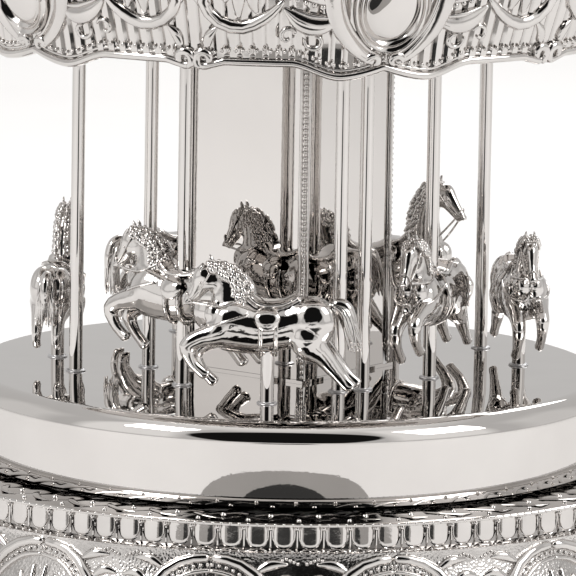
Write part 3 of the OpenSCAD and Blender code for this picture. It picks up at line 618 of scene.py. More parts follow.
class CarouselTurntable(bpy.types.Operator):
    """Model the turntable, the column's corner beading, the poles and their collars"""
    bl_idname = "carousel.turntable"
    bl_label = "Turntable and poles"

    def execute(self, context):
        self.disc()
        self.column()
        self.poles()
        return {"FINISHED"}

    def disc(self):
        low, high = box("turntable_disc")
        r, z0, z1 = high.x, low.z, high.z
        rounding = sizes().disc_rounding
        wall = 1.6 * MM
        bore = 3.03 * MM
        foot = [(r - wall, z0), (r - 0.25 * MM, z0), (r, z0 + 0.25 * MM)]
        side = [(r, z0 + (z1 - rounding - z0) * i / 8) for i in range(1, 8)]
        top = quarter(r - rounding, z1 - rounding, rounding, 18)
        flat = [(r * k, z1) for k in (0.7, 0.4)]
        under = [(bore, z1), (bore, z1 - wall), (r - rounding, z1 - wall)]
        inner = [(r - wall, z1 - rounding)]
        bm = bmesh.new()
        lathe(bm, foot + side + top + flat + under + inner, 384)
        piece("polished_turntable", bm, "polished_plate", "turntable", ("turntable_disc",), 35)

    def column(self):
        low, high = box("corner_strips")
        r = sizes().column_r - 1.1 * MM
        bm = bmesh.new()
        z0, z1 = low.z, high.z
        turn = math.degrees(sizes().column_turn)
        for k in range(4):
            a = turn + 90 * k
            for side in (-1, 1):
                offset = math.degrees(side * 0.95 * MM / r)
                lower, upper = at(a + offset, r + 0.15 * MM, z0), at(a + offset, r + 0.15 * MM, z1)
                tube(bm, [lower, (lower + upper) / 2, upper], [0.42 * MM] * 3, None, 6, 8)
            lower, upper = at(a, r - 0.2 * MM, z0), at(a, r - 0.2 * MM, z1)
            tube(bm, [lower, (lower + upper) / 2, upper], [0.8 * MM] * 3, None, 6, 8)
            beads = int((z1 - z0) / (1.3 * MM))
            for i in range(beads):
                bead(bm, at(a, r + 0.35 * MM, z0 + (i + 0.5) * (z1 - z0) / beads), 0.56 * MM)
        piece("beaded_corner_strips", bm, "relief_plate", "turntable", ("corner_strips",), 60)

    def poles(self):
        pole_r = sizes().pole_r
        base, top = (corner.z for corner in box("canopy_poles"))
        disc_z = box("turntable_disc")[1].z
        post_top = 11 * MM
        places = [(angle, radius, top) for angle, radius in PLAIN_POLES]
        places += [(HORSES[name][0], HORSES[name][1], top) for name in ON_FULL_POLES]
        posts = [h for name, h in HORSES.items() if name not in ON_FULL_POLES]
        places += [(h[0], h[1], disc_z + h[2] * MM + post_top) for h in posts]
        chamfer = 0.3 * MM
        bm = bmesh.new()
        collars = bmesh.new()
        for angle, radius, end in places:
            shift = Matrix.Translation(at(angle, radius * MM, 0))
            rod = bmesh.new()
            lathe(rod, [(0, base), (pole_r - chamfer, base), (pole_r, base + chamfer),
                        (pole_r, end - chamfer), (pole_r - chamfer, end), (0, end)], 40, False)
            merge(bm, loose_mesh("rod", rod), shift)
            ring = bmesh.new()
            outline = [(0, 0), (0.75, 0), (0.8, 0.2), (0.5, 0.45), (0, 0.5)]
            lathe(ring, [(pole_r + out * MM, disc_z + up * MM) for out, up in outline], 40)
            merge(collars, loose_mesh("ring", ring), shift)
        piece("poles_and_posts", bm, "polished_plate", "turntable",
              ("canopy_poles", "horse_poles", "horse_posts"), 35)
        piece("pole_collars", collars, "steel", "turntable", (), 35)


# ---------- horses ----------
# A horse faces +X with its pole on the Z axis; its lowest hoof is at z = 0. Sizes in mm.

SIDEWAYS = (0, 1, 0)

# paths of (x, z), and radii in the side view
TRUNK = [(13.6, 16.8), (9.5, 16.0), (3, 14.6), (-3.5, 15.2), (-9.5, 16.6), (-15.6, 17.2)]
TRUNK_RADII = [4.2, 6.7, 6.0, 5.5, 6.1, 4.2]
HIND_RADII = [5.0, 4.4, 2.7, 2.0, 1.6, 1.7]
FORE_RADII = [3.8, 3.1, 2.3, 2.0, 1.45, 1.4, 1.6]
HIND_OUT = 2.9
FORE_OUT = 2.7
HIND = {
    "tucked": [(-10, 16.6), (-9.6, 12.2), (-13.4, 8.8), (-16.2, 5.6), (-18.6, 3.0), (-20.4, 1.2)],
    "proud": [(-10, 16.6), (-9.4, 12.2), (-13.6, 9.2), (-15.8, 5.6), (-16.2, 3.2), (-15.4, 1.2)],
}
FORE_REACHING = [(9, 16), (11.4, 12.8), (15.0, 10.6), (17.2, 8.2), (15.6, 4.8), (13.4, 2.4), (12.2, 1.2)]
FORE_TUCKED = [(9, 16), (11.8, 13.8), (15.8, 12.6), (18.8, 10.6), (17.6, 7.0), (15.4, 4.8), (14.0, 3.8)]
NECK = {
    "tucked": [(9.2, 15.6), (8.8, 20.5), (9.6, 24.6), (11.2, 27.4), (13.2, 28.6)],
    "proud": [(8.8, 16.0), (8.0, 22.0), (8.2, 27.6), (9.6, 32.0), (11.6, 34.2)],
}
NECK_RADII = [6.0, 4.9, 3.9, 3.1, 2.3]
HEAD = {
    "tucked": [(12.8, 28.6), (14.6, 26.8), (16.3, 24.0), (18.0, 21.4), (18.9, 20.0)],
    "proud": [(11.2, 34.6), (13.2, 33.2), (15.4, 30.8), (17.5, 28.4), (18.6, 27.2)],
}
HEAD_RADII = [2.3, 3.1, 2.2, 1.65, 1.5]
SADDLE = [(5.0, 23.3), (2.8, 21.2), (0, 20.6), (-3.6, 21.0), (-7.4, 22.9)]
CREST = {
    "tucked": [(14.2, 30.6), (11.6, 30.4), (8.4, 29.6), (5.8, 27.0), (4.4, 23.6), (3.9, 21.6)],
    "proud": [(12.2, 36.6), (9.2, 36.0), (6.4, 33.4), (4.8, 29.4), (4.0, 25.4), (3.9, 22.4)],
}
TAIL = {
    "tucked": [(-14.6, 20.6), (-17.6, 19.6), (-19.2, 15.4), (-20.4, 11.2)],
    "proud": [(-14.6, 20.4), (-17.8, 19.4), (-18.8, 14.6), (-18.4, 8.8)],
}
FORELOCK = {"tucked": Vector((15.0, 0, 29.6)), "proud": Vector((13.2, 0, 35.6))}


def strand(bm, points, radii, up=SIDEWAYS, steps=6, sides=6, flat=1.0):
    """A stroke in mm, for hair and straps."""
    tube(bm, [Vector(point) * MM for point in points], [r * MM for r in radii], up, steps, sides, flat)


def limb(bm, points, radii, y=0.0, flat=0.85, steps=22, sides=14):
    """A stroke in mm along (x, z) points, y to the side. flat is its thickness against its radius."""
    strand(bm, [(x, y, z) for x, z in points], radii, SIDEWAYS, steps, sides, flat)


def lump(bm, x, y, z, rx, ry, rz):
    ball(bm, (x * MM, y * MM, z * MM), (rx * MM, ry * MM, rz * MM))


def in_side_view(points):
    return [Vector((x, 0, z)) for x, z in points]


def horse_body(bm, carriage):
    """Trunk, neck, head and legs as overlapping solids, to be blended together."""
    limb(bm, TRUNK, TRUNK_RADII, 0, 0.84, 28, 18)
    limb(bm, NECK[carriage], NECK_RADII, 0, 0.62, 24, 16)
    limb(bm, HEAD[carriage], HEAD_RADII, 0, 0.66, 22, 14)
    crown, cheek, bridge, _, lips = HEAD[carriage]
    for side in (-1, 1):
        # cheek, nostril and brow, then quarter, shoulder and breast
        lump(bm, cheek[0] - 0.6, side * 1.15, cheek[1] - 1.4, 1.9, 1.0, 1.9)
        lump(bm, lips[0] + 0.5, side * 0.62, lips[1] + 0.5, 0.7, 0.55, 0.6)
        lump(bm, bridge[0] - 0.4, side * 1.25, bridge[1] + 1.4, 0.62, 0.35, 0.5)
        lump(bm, -10.4, side * 2.3, 16.4, 5.4, 3.4, 5.9)
        lump(bm, 9.4, side * 2.5, 15.6, 3.9, 2.9, 5.2)
        lump(bm, 12.6, side * 1.6, 18.0, 2.3, 2.0, 3.2)
        shift = 0.9 if side > 0 else -0.6
        hind = [(x + shift * i / 5, z) for i, (x, z) in enumerate(HIND[carriage])]
        limb(bm, hind, HIND_RADII, side * HIND_OUT, 0.72)
        x, z = hind[-1]
        limb(bm, [(x + 0.5, z + 1.0), (x - 0.5, z - 0.1)], [1.5, 1.9, 2.0], side * HIND_OUT, 0.9, 12)
        fore = FORE_REACHING if side < 0 else FORE_TUCKED
        limb(bm, fore, FORE_RADII, side * FORE_OUT, 0.85)
        x, z = fore[-1]
        limb(bm, [(x + 0.7, z + 0.8), (x - 0.5, z - 0.1)], [1.5, 1.9, 1.9], side * FORE_OUT, 0.9, 12)
        knee = fore[3]
        lump(bm, knee[0] - 0.2, side * FORE_OUT, knee[1] + 0.2, 1.5, 1.25, 1.4)
        x, z = crown[0] + 0.3, crown[1] + 1.2
        limb(bm, [(x, z), (x + 0.5, z + 1.4), (x + 1.1, z + 2.7)], [0.85, 0.7, 0.12], side, 0.6, 10, 8)
    limb(bm, TAIL[carriage], [1.7, 2.2, 2.0, 0.9], 0, 0.75)
    limb(bm, SADDLE, [0.9, 1.0, 1.1, 1.0, 0.9], 0, 4.0, 18, 16)


def melted(bm, name, voxel):
    """The solids in bm as one blended skin."""
    mesh = loose_mesh(name, bm)
    holder = bpy.data.objects.new(name, mesh)
    bpy.context.scene.collection.objects.link(holder)
    remesh = holder.modifiers.new("blend", "REMESH")
    remesh.mode = "VOXEL"
    remesh.voxel_size = voxel
    soften = holder.modifiers.new("soften", "SMOOTH")
    soften.factor = 0.5
    soften.iterations = 7
    bpy.context.view_layer.update()
    skin = bpy.data.meshes.new_from_object(holder.evaluated_get(bpy.context.evaluated_depsgraph_get()))
    bpy.data.objects.remove(holder)
    bpy.data.meshes.remove(mesh)
    return skin


def horse_hair(bm, carriage, rng):
    """Curls of the mane down both sides of the neck, and the strands of the tail."""
    crest = in_side_view(CREST[carriage])
    neck = in_side_view(NECK[carriage])
    rows, curls = 5, 17
    for row in range(rows):
        for k in range(curls):
            t = (k + 0.5 * (row % 2)) / curls
            root = along(crest, t)
            inner = along(neck, 1 - t)
            for side in (-1, 1):
                depth = row / rows * 0.8
                start = root.lerp(inner, depth)
                y = side * (0.5 + 2.3 * math.sqrt(depth) * (0.72 + 0.28 * t))
                drop = Vector((-0.5 + rng.uniform(-0.6, 0.6), 0, -1.1 + rng.uniform(-0.5, 0.4)))
                start = start + Vector((rng.uniform(-0.4, 0.4), y, rng.uniform(-0.4, 0.4)))
                middle = start + drop * 0.7 + Vector((0.3, side * 0.42, 0))
                end = start + drop * 1.35 + Vector((-0.25, side * 0.15, 0))
                strand(bm, [start, middle, end], [0.42, 0.62, 0.3])
    for k in range(5):
        y = (k - 2) * 0.5
        start = FORELOCK[carriage] + Vector((0, y, 0))
        middle, end = start + Vector((0.9, 0, -0.9)), start + Vector((1.2, y * 0.3, -2.2))
        strand(bm, [start, middle, end], [0.4, 0.5, 0.2])
    strands = 26
    for k in range(strands):
        a = k * TAU / strands
        spread = Vector((0.75 * math.cos(a), 1.45 * math.sin(a), 0))
        droop = 0.5 if k % 3 == 0 else 0
        path = []
        for i, point in enumerate(in_side_view(TAIL[carriage])):
            wave = 0.35 * math.sin(2.2 * i + k)
            path.append(point + spread * (0.5 + 0.45 * i) + Vector((wave, wave * 0.5, -droop * i)))
        strand(bm, path, [0.5, 0.62, 0.55, 0.2], SIDEWAYS, 12)


def horse_tack(bm, carriage):
    """Saddle flaps, girths, breast strap, bridle, reins and eyes."""
    _, (cheek_x, cheek_z), (bridge_x, bridge_z), (nose_x, nose_z), _ = HEAD[carriage]
    for side in (-1, 1):
        out = (0, side, 0)
        strand(bm, [(0.2, side * 3.4, 20.4), (0.2, side * 5.2, 18.0), (0, side * 5.75, 14.8)],
               [2.4, 2.9, 1.9], (0, side, 0.4), 12, 12, 0.2)
        for x, reach in ((1.7, 5.5), (-1.9, 5.3)):
            turns = [math.radians(d) for d in (30, 0, -30, -60, -90)]
            girth = [(x, side * reach * math.cos(a), 14.6 + 6.2 * math.sin(a)) for a in turns]
            strand(bm, girth, [0.42] * 3, (1, 0, 0), 16, 6, 1.3)
        strand(bm, [(4.6, side * 5.0, 18.6), (9.2, side * 5.5, 17.2), (13.2, side * 4.2, 15.6),
                    (15.6, side, 15.0)], [0.36] * 4, out, 16)
        strand(bm, [(cheek_x - 1.0, side * 2.2, cheek_z + 1.2), (bridge_x, side * 1.75, bridge_z - 0.5),
                    (nose_x, side * 1.3, nose_z)], [0.26] * 3, out, 10)
        strand(bm, [(nose_x, side * 1.3, nose_z - 0.4), (nose_x + 0.9, side * 0.9, nose_z + 1.2),
                    (nose_x + 1.2, 0, nose_z + 1.6)], [0.24] * 3, out, 8)
        strand(bm, [(nose_x, side * 1.4, nose_z - 0.6), (10.5, side * 3.7, 20.4), (5.4, side * 2.4, 22.6)],
               [0.28] * 3, out, 14)
        bead(bm, Vector((bridge_x - 0.4, side * 1.55, bridge_z + 1.4)) * MM, 0.36 * MM)


class CarouselHorses(bpy.types.Operator):
    """Model the eight horses, with manes, tails and harness"""
    bl_idname = "carousel.horses"
    bl_label = "Horses"

    def execute(self, context):
        rng = random.Random(7)
        disc_z = box("turntable_disc")[1].z
        models = {}
        for carriage in ("tucked", "proud"):
            bm = bmesh.new()
            horse_body(bm, carriage)
            skin = melted(bm, "horse_" + carriage, sizes().voxel)
            bm = bmesh.new()
            bm.from_mesh(skin)
            horse_hair(bm, carriage, rng)
            horse_tack(bm, carriage)
            models[carriage] = loose_mesh("horse_model_" + carriage, bm)
        for name, (angle, radius, lift, extra, carriage, size) in HORSES.items():
            copy = models[carriage].copy()
            place = Matrix.Translation(at(angle, radius * MM, disc_z + lift * MM))
            turn = Matrix.Rotation(math.radians(180 + angle + extra), 4, "Z")
            bm = bmesh.new()
            merge(bm, copy, place @ turn @ Matrix.Scale(size, 4))
            piece("silver_" + name, bm, "horse_plate", "turntable", (name,), 80)
        return {"FINISHED"}


# ---------- canopy ----------

def rim_lift(angle):
    """Height of the scalloped edge over its lowest point, in mm, at an angle from the front."""
    sector = 360 / CARTOUCHES
    off = abs((angle - math.degrees(sizes().cartouche_turn) + sector / 2) % sector - sector / 2)
    knot, shoulder, knob, full = 7, 15, 28.5, 3.1
    if off < knot:
        return 2.3 * (1 - off / knot) ** 1.6
    if off < shoulder:
        f = (off - knot) / (shoulder - knot)
        return full * f * f * (3 - 2 * f)
    return full - 1.3 * max(0, 1 - abs(off - knob) / 3.2)


def skirt_radius(z):
    """Outer radius of the skirt at a height: it curves outward as it rises."""
    low, high = box("canopy_skirt")
    t = min(max((z - low.z) / (high.z - low.z), 0), 1)
    bend = [0.0, 0.16, 0.44, 0.72, 1.0]
    place = t * (len(bend) - 1)
    i = min(int(place), len(bend) - 2)
    share = bend[i] + (bend[i + 1] - bend[i]) * (place - i)
    return sizes().skirt_low_r + (high.x - sizes().skirt_low_r) * share


def skirt_wall(u, v, lift=0.25):
    """Point on the skirt: u mm sideways from a cartouche's middle, v mm over the skirt's lowest edge."""
    z = box("canopy_skirt")[0].z + v * MM
    r = skirt_radius(z)
    return at(math.degrees(u * MM / SKIRT_ROUND), r + lift * MM, z)


SKIRT_STROKES = [
    # ribbon that frames the cartouche and runs down to the pointed knot
    ([(-8.2, 30.5), (-12.6, 26), (-13.4, 20), (-11.6, 13.2), (-7.2, 7.6), (-2.4, 4.4)],
     [0.8, 2.0, 2.3, 2.1, 1.7, 1.1], 0.5),
    ([(-10.4, 29), (-11.4, 22), (-9.6, 14), (-5.2, 8.2), (-1.4, 6.0)], [0.3, 0.55, 0.6, 0.5, 0.4], 1.5),
    (curl(-2.6, 4.6, 1.9, 200, -300, 0.2), [0.9, 1.1, 0.9, 0.6], 0.9),
    # broad leaf off the ribbon, with its veins
    ([(-12.5, 14.0), (-16.5, 13.2), (-20.5, 14.2), (-24.5, 17.2)], [0.9, 2.4, 2.3, 0.3], 0.5),
    ([(-13.5, 15.0), (-18.0, 15.4), (-22.6, 17.0)], [0.4, 0.7, 0.2], 1.5),
    ([(-13.5, 12.4), (-18.0, 11.6), (-22.2, 13.4)], [0.4, 0.6, 0.2], 1.3),
    ([(-14.0, 18.4), (-18.2, 20.6), (-21.4, 24.6)], [0.6, 1.8, 0.3], 0.55),
    ([(-13.8, 22.2), (-16.8, 25.6), (-17.8, 29.4)], [0.5, 1.6, 0.3], 0.55),
    # light C-scroll under the leaf
    (curl(-17.0, 9.6, 2.7, 170, 290, 0.25), [0.35, 0.6, 0.55, 0.4], 1.0),
    (curl(-23.6, 10.4, 2.3, 20, 300, 0.25), [0.35, 0.55, 0.5, 0.35], 1.0),
    # long S-scroll of the upper wall, meeting the next sector's
    ([(-24.2, 19.2), (-28.4, 15.0), (-34.0, 12.4), (-39.6, 13.6), (-43.0, 18.2), (-41.0, 22.6),
      (-37.2, 21.0), (-38.0, 18.0)], [0.5, 1.4, 1.7, 1.6, 1.4, 1.1, 0.9, 0.6], 0.75),
    ([(-30.6, 15.8), (-31.4, 20.4), (-28.2, 24.8)], [0.5, 1.7, 0.3], 0.6),
    ([(-34.8, 14.6), (-34.6, 20.0), (-33.0, 26.0)], [0.5, 1.7, 0.3], 0.6),
    ([(-40.2, 23.0), (-42.6, 26.6), (-45.6, 29.6)], [0.5, 1.5, 0.3], 0.6),
    ([(-43.4, 17.2), (-45.2, 21.0), (-46.0, 25.4)], [0.4, 1.3, 0.3], 0.6),
    # curl that ends the edge's moulding at the knobs
    (curl(-43.4, 4.6, 2.5, 250, -320, 0.25), [0.9, 1.2, 1.1, 0.8], 0.9),
    ([(-43.0, 7.2), (-42.0, 10.2), (-40.0, 12.2)], [0.9, 1.2, 0.3], 0.7),
]


class CarouselCanopy(bpy.types.Operator):
    """Model the canopy: fluted skirt, scrollwork, cartouches, cornice, roof and finial"""
    bl_idname = "carousel.canopy"
    bl_label = "Canopy"

    def execute(self, context):
        self.skirt()
        self.edge()
        self.scrolls()
        self.cartouches()
        self.cornice()
        self.roof()
        self.finial()
        return {"FINISHED"}

    def skirt(self):
        low, high = box("canopy_skirt")
        z0, z1 = low.z, high.z
        wall = 1.6 * MM
        rows = 18
        heights = [z0 + (z1 - z0) * i / rows for i in range(rows + 1)]
        outer = [(skirt_radius(z), z) for z in heights]
        inner = [(r - wall, z) for r, z in reversed(outer[::2])]
        steps = sizes().flutes * 4
        bm = bmesh.new()
        lathe(bm, outer + inner, steps)
        groove = 0.5 * MM
        soft_reach = 9 * MM
        for vert in bm.verts:
            angle = angle_of(vert.co)
            r = math.hypot(vert.co.x, vert.co.y)
            column = round((angle % 360) / 360 * steps) % 4
            if column == 0 and r > skirt_radius(vert.co.z) - wall / 2:
                vert.co.xy *= 1 - groove / r
            fade = max(0, 1 - (vert.co.z - z0) / soft_reach)
            vert.co.z += rim_lift(angle) * MM * fade
        piece("fluted_skirt", bm, "fluted_plate", "turntable", ("canopy_skirt",), 24)

    def edge(self):
        z0 = box("canopy_skirt")[0].z
        thick = 1.15 * MM
        bm = bmesh.new()
        for lift, size, out in ((1.0, 0.85, 0.3), (2.5, 0.36, 0.35)):
            centre = sizes().skirt_low_r + out * MM
            ring = [(centre + thick * size * math.cos(a), z0 + lift * MM + thick * size * math.sin(a))
                    for a in [TAU * i / 10 for i in range(10)]]
            lathe(bm, ring, 720)
        for vert in bm.verts:
            vert.co.z += rim_lift(angle_of(vert.co)) * MM
        beads = 330
        for k in range(beads):
            angle = k * 360 / beads
            z = z0 + (3.6 + rim_lift(angle)) * MM
            bead(bm, at(angle, skirt_radius(z) + 0.2 * MM, z), 0.48 * MM)
        piece("scalloped_edge", bm, "relief_plate", "turntable", (), 60)

    def scrolls(self):
        bm = bmesh.new()
        for flip in (False, True):
            strokes_on(bm, skirt_wall, SKIRT_STROKES, flip, 18, 10)
            side = -1 if flip else 1
            for k in range(7):
                bead(bm, skirt_wall(side * (-15.6 - 1.9 * k), 17.6 + 0.5 * k, 0.6), (0.75 - 0.05 * k) * MM)
        source = loose_mesh("skirt_sector", bm)
        bm = bmesh.new()
        repeated(bm, source, CARTOUCHES, math.degrees(sizes().cartouche_turn))
        piece("skirt_scrollwork", bm, "relief_plate", "turntable", (), 70)

    def cartouches(self):
        low, high = box("canopy_skirt")
        z = low.z + 17.9 * MM
        wide, tall = 7.3 * MM, 9.8 * MM
        unit = bmesh.new()
        # a dome in a frame of two mouldings, as shares of the width and the thickness
        outline = [(0, 0.9), (0.35, 0.86), (0.62, 0.72), (0.80, 0.52), (0.86, 0.30), (0.90, 0.62),
                   (0.95, 0.80), (1.0, 0.62), (1.02, 0.34), (1.07, 0.62), (1.12, 0.72), (1.18, 0.45),
                   (1.2, -0.5), (0, -0.5)]
        lathe(unit, outline, 72, False)
        bmesh.ops.transform(unit, verts=unit.verts, matrix=Matrix.Diagonal((wide, tall, 2.0 * MM, 1)))
        source = loose_mesh("cartouche", unit)
        lean = math.atan((high.x - sizes().skirt_low_r) / (high.z - low.z))
        bm = bmesh.new()
        for k in range(CARTOUCHES):
            angle = math.degrees(sizes().cartouche_turn) + 360 / CARTOUCHES * k
            a = math.radians(angle)
            right = Vector((math.cos(a), math.sin(a), 0))
            out = Vector((math.sin(a) * math.cos(lean), -math.cos(a) * math.cos(lean), -math.sin(lean)))
            up = out.cross(right)
            turned = Matrix((right, up, out)).transposed().to_4x4()
            place = Matrix.Translation(at(angle, skirt_radius(z) + 0.5 * MM, z))
            merge(bm, source.copy(), place @ turned)
        piece("oval_cartouches", bm, "polished_plate", "turntable", ("cartouches",), 50)

    def cornice(self):
        low, high = box("canopy_cornice")
        z, h = low.z, high.z - low.z
        r = high.x
        bm = bmesh.new()
        # mm in from the rim, share of the height
        steps = [(8, 0), (1.8, 0), (0.6, 0.2), (0.5, 0.42), (1.2, 0.6), (1.6, 0.78), (2.6, 1), (8, 1)]
        lathe(bm, smooth_outline([(r - inset * MM, z + t * h) for inset, t in steps], 26), 360)
        beads = 150
        for k in range(beads):
            bead(bm, at(k * 360 / beads, r - 0.95 * MM, z + 0.38 * h), 0.95 * MM)
        unit = bmesh.new()
        tube(unit, [at(0, r - 2.2 * MM, z + h), at(0, r - 1.3 * MM, z + 0.62 * h)],
             [1.1 * MM, 0.9 * MM, 0.7 * MM], None, 8, 8, 0.8)
        repeated(bm, loose_mesh("dentil", unit), 120)
        piece("beaded_cornice", bm, "relief_plate", "turntable", ("canopy_cornice",), 60)

    def roof_line(self):
        """Points of (radius, height) up the roof, from the eaves to the nut."""
        low, high = box("canopy_roof")
        z, h, r = low.z, high.z - low.z, high.x
        inner = ROOF_TOP_R
        shape = [(1, 0), (0.97, 0.09), (0.9, 0.19), (0.8, 0.3), (0.66, 0.42), (0.5, 0.53), (0.34, 0.64),
                 (0.2, 0.76), (0.1, 0.88), (0, 1)]
        return [(inner + (r - inner) * a, z + h * b) for a, b in shape]

    def roof(self):
        line = self.roof_line()
        low, high = box("canopy_roof")
        wall = 1.5 * MM
        outer = smooth_outline(line, 30)
        bore = 3.1 * MM
        under = [(max(r - wall * 0.5, bore), z - wall) for r, z in reversed(outer[1:])]
        eaves = (high.x - 2.6 * MM, low.z)
        bm = bmesh.new()
        lathe(bm, outer + [(bore, high.z), (bore, high.z - wall)] + under + [eaves], 480)
        for vert in bm.verts:
            r = math.hypot(vert.co.x, vert.co.y)
            a = math.radians(angle_of(vert.co))
            share = min(1, max(0, (r - ROOF_TOP_R) / (high.x - ROOF_TOP_R)))
            lobe = abs(math.sin(24 * a))
            vert.co.z -= 0.9 * MM * (1 - lobe) * math.sin(math.pi * min(1, share * 1.02)) ** 0.7
        piece("gadrooned_roof", bm, "fluted_plate", "turntable", ("canopy_roof",), 40)
        unit = bmesh.new()
        path = [Vector((0, -r, z + 0.3 * MM)) for r, z in line]
        tube(unit, path, [1.7 * MM, 1.5 * MM, 1.1 * MM, 0.8 * MM], None, 30, 10, 0.8)
        for i in range(14):
            point = along(path, 0.08 + 0.84 * i / 13)
            bead(unit, point + Vector((0, -0.4 * MM, 1.0 * MM)), (0.95 - 0.035 * i) * MM)
        for side in (-1, 1):
            for i in range(5):
                t = 0.04 + 0.17 * i
                root, tip = along(path, t + 0.1), along(path, t)
                reach = (7.5 - 1.2 * i) * MM
                spread = Vector((side * reach, 0, 0))
                tube(unit, [root, root + spread * 0.5, tip + spread],
                     [0.6 * MM, (1.7 - 0.2 * i) * MM, 0.3 * MM], (0, 0, 1), 12, 8, 0.5)
        bm = bmesh.new()
        repeated(bm, loose_mesh("rib", unit), ROOF_RIBS)
        piece("leafed_roof_ribs", bm, "relief_plate", "turntable", ("roof_ribs",), 60)

    def finial(self):
        low, high = box("finial")
        z, h = low.z, high.z - low.z
        # radius in mm, share of the height
        outline = [(6.4, 0), (6.8, 0.045), (5, 0.1), (3.8, 0.167), (5.4, 0.233), (6.8, 0.344), (6.8, 0.444),
                   (5.4, 0.556), (3.2, 0.633), (2, 0.7), (2.6, 0.767), (1.8, 0.833), (0.9, 0.944), (0, 1)]
        wall = [(max(0, r) * MM, z + t * h) for r, t in smooth_outline(outline, 60)]
        bm = bmesh.new()
        lathe(bm, [(0, z)] + wall, 96, False)
        for vert in bm.verts:
            t = (vert.co.z - z) / h
            if 0.2 < t < 0.6:
                lobe = abs(math.sin(6 * math.radians(angle_of(vert.co))))
                vert.co.xy *= 1 - 0.09 * (1 - lobe) * math.sin(math.pi * (t - 0.2) / 0.4)
        for k in range(24):
            bead(bm, at(k * 15, 6.5 * MM, z + 0.06 * h), 0.62 * MM)
        piece("lobed_finial", bm, "relief_plate", "turntable", ("finial",), 45)


# ---------- carried parts and stage ----------

class CarouselMechanism(bpy.types.Operator):
    """Give the movement, screws and cores their finishes"""
    bl_idname = "carousel.mechanism"
    bl_label = "Mechanism finishes"

    def execute(self, context):
        for part in frame["record"]["subparts"]:
            node = frame["nodes"][part["node"]]
            if node.hide_render:
                continue
            slot = part["material_slot"]
            node.data.materials.clear()
            node.data.materials.append(material(SLOT_FINISH.get(slot, slot)))
        return {"FINISHED"}


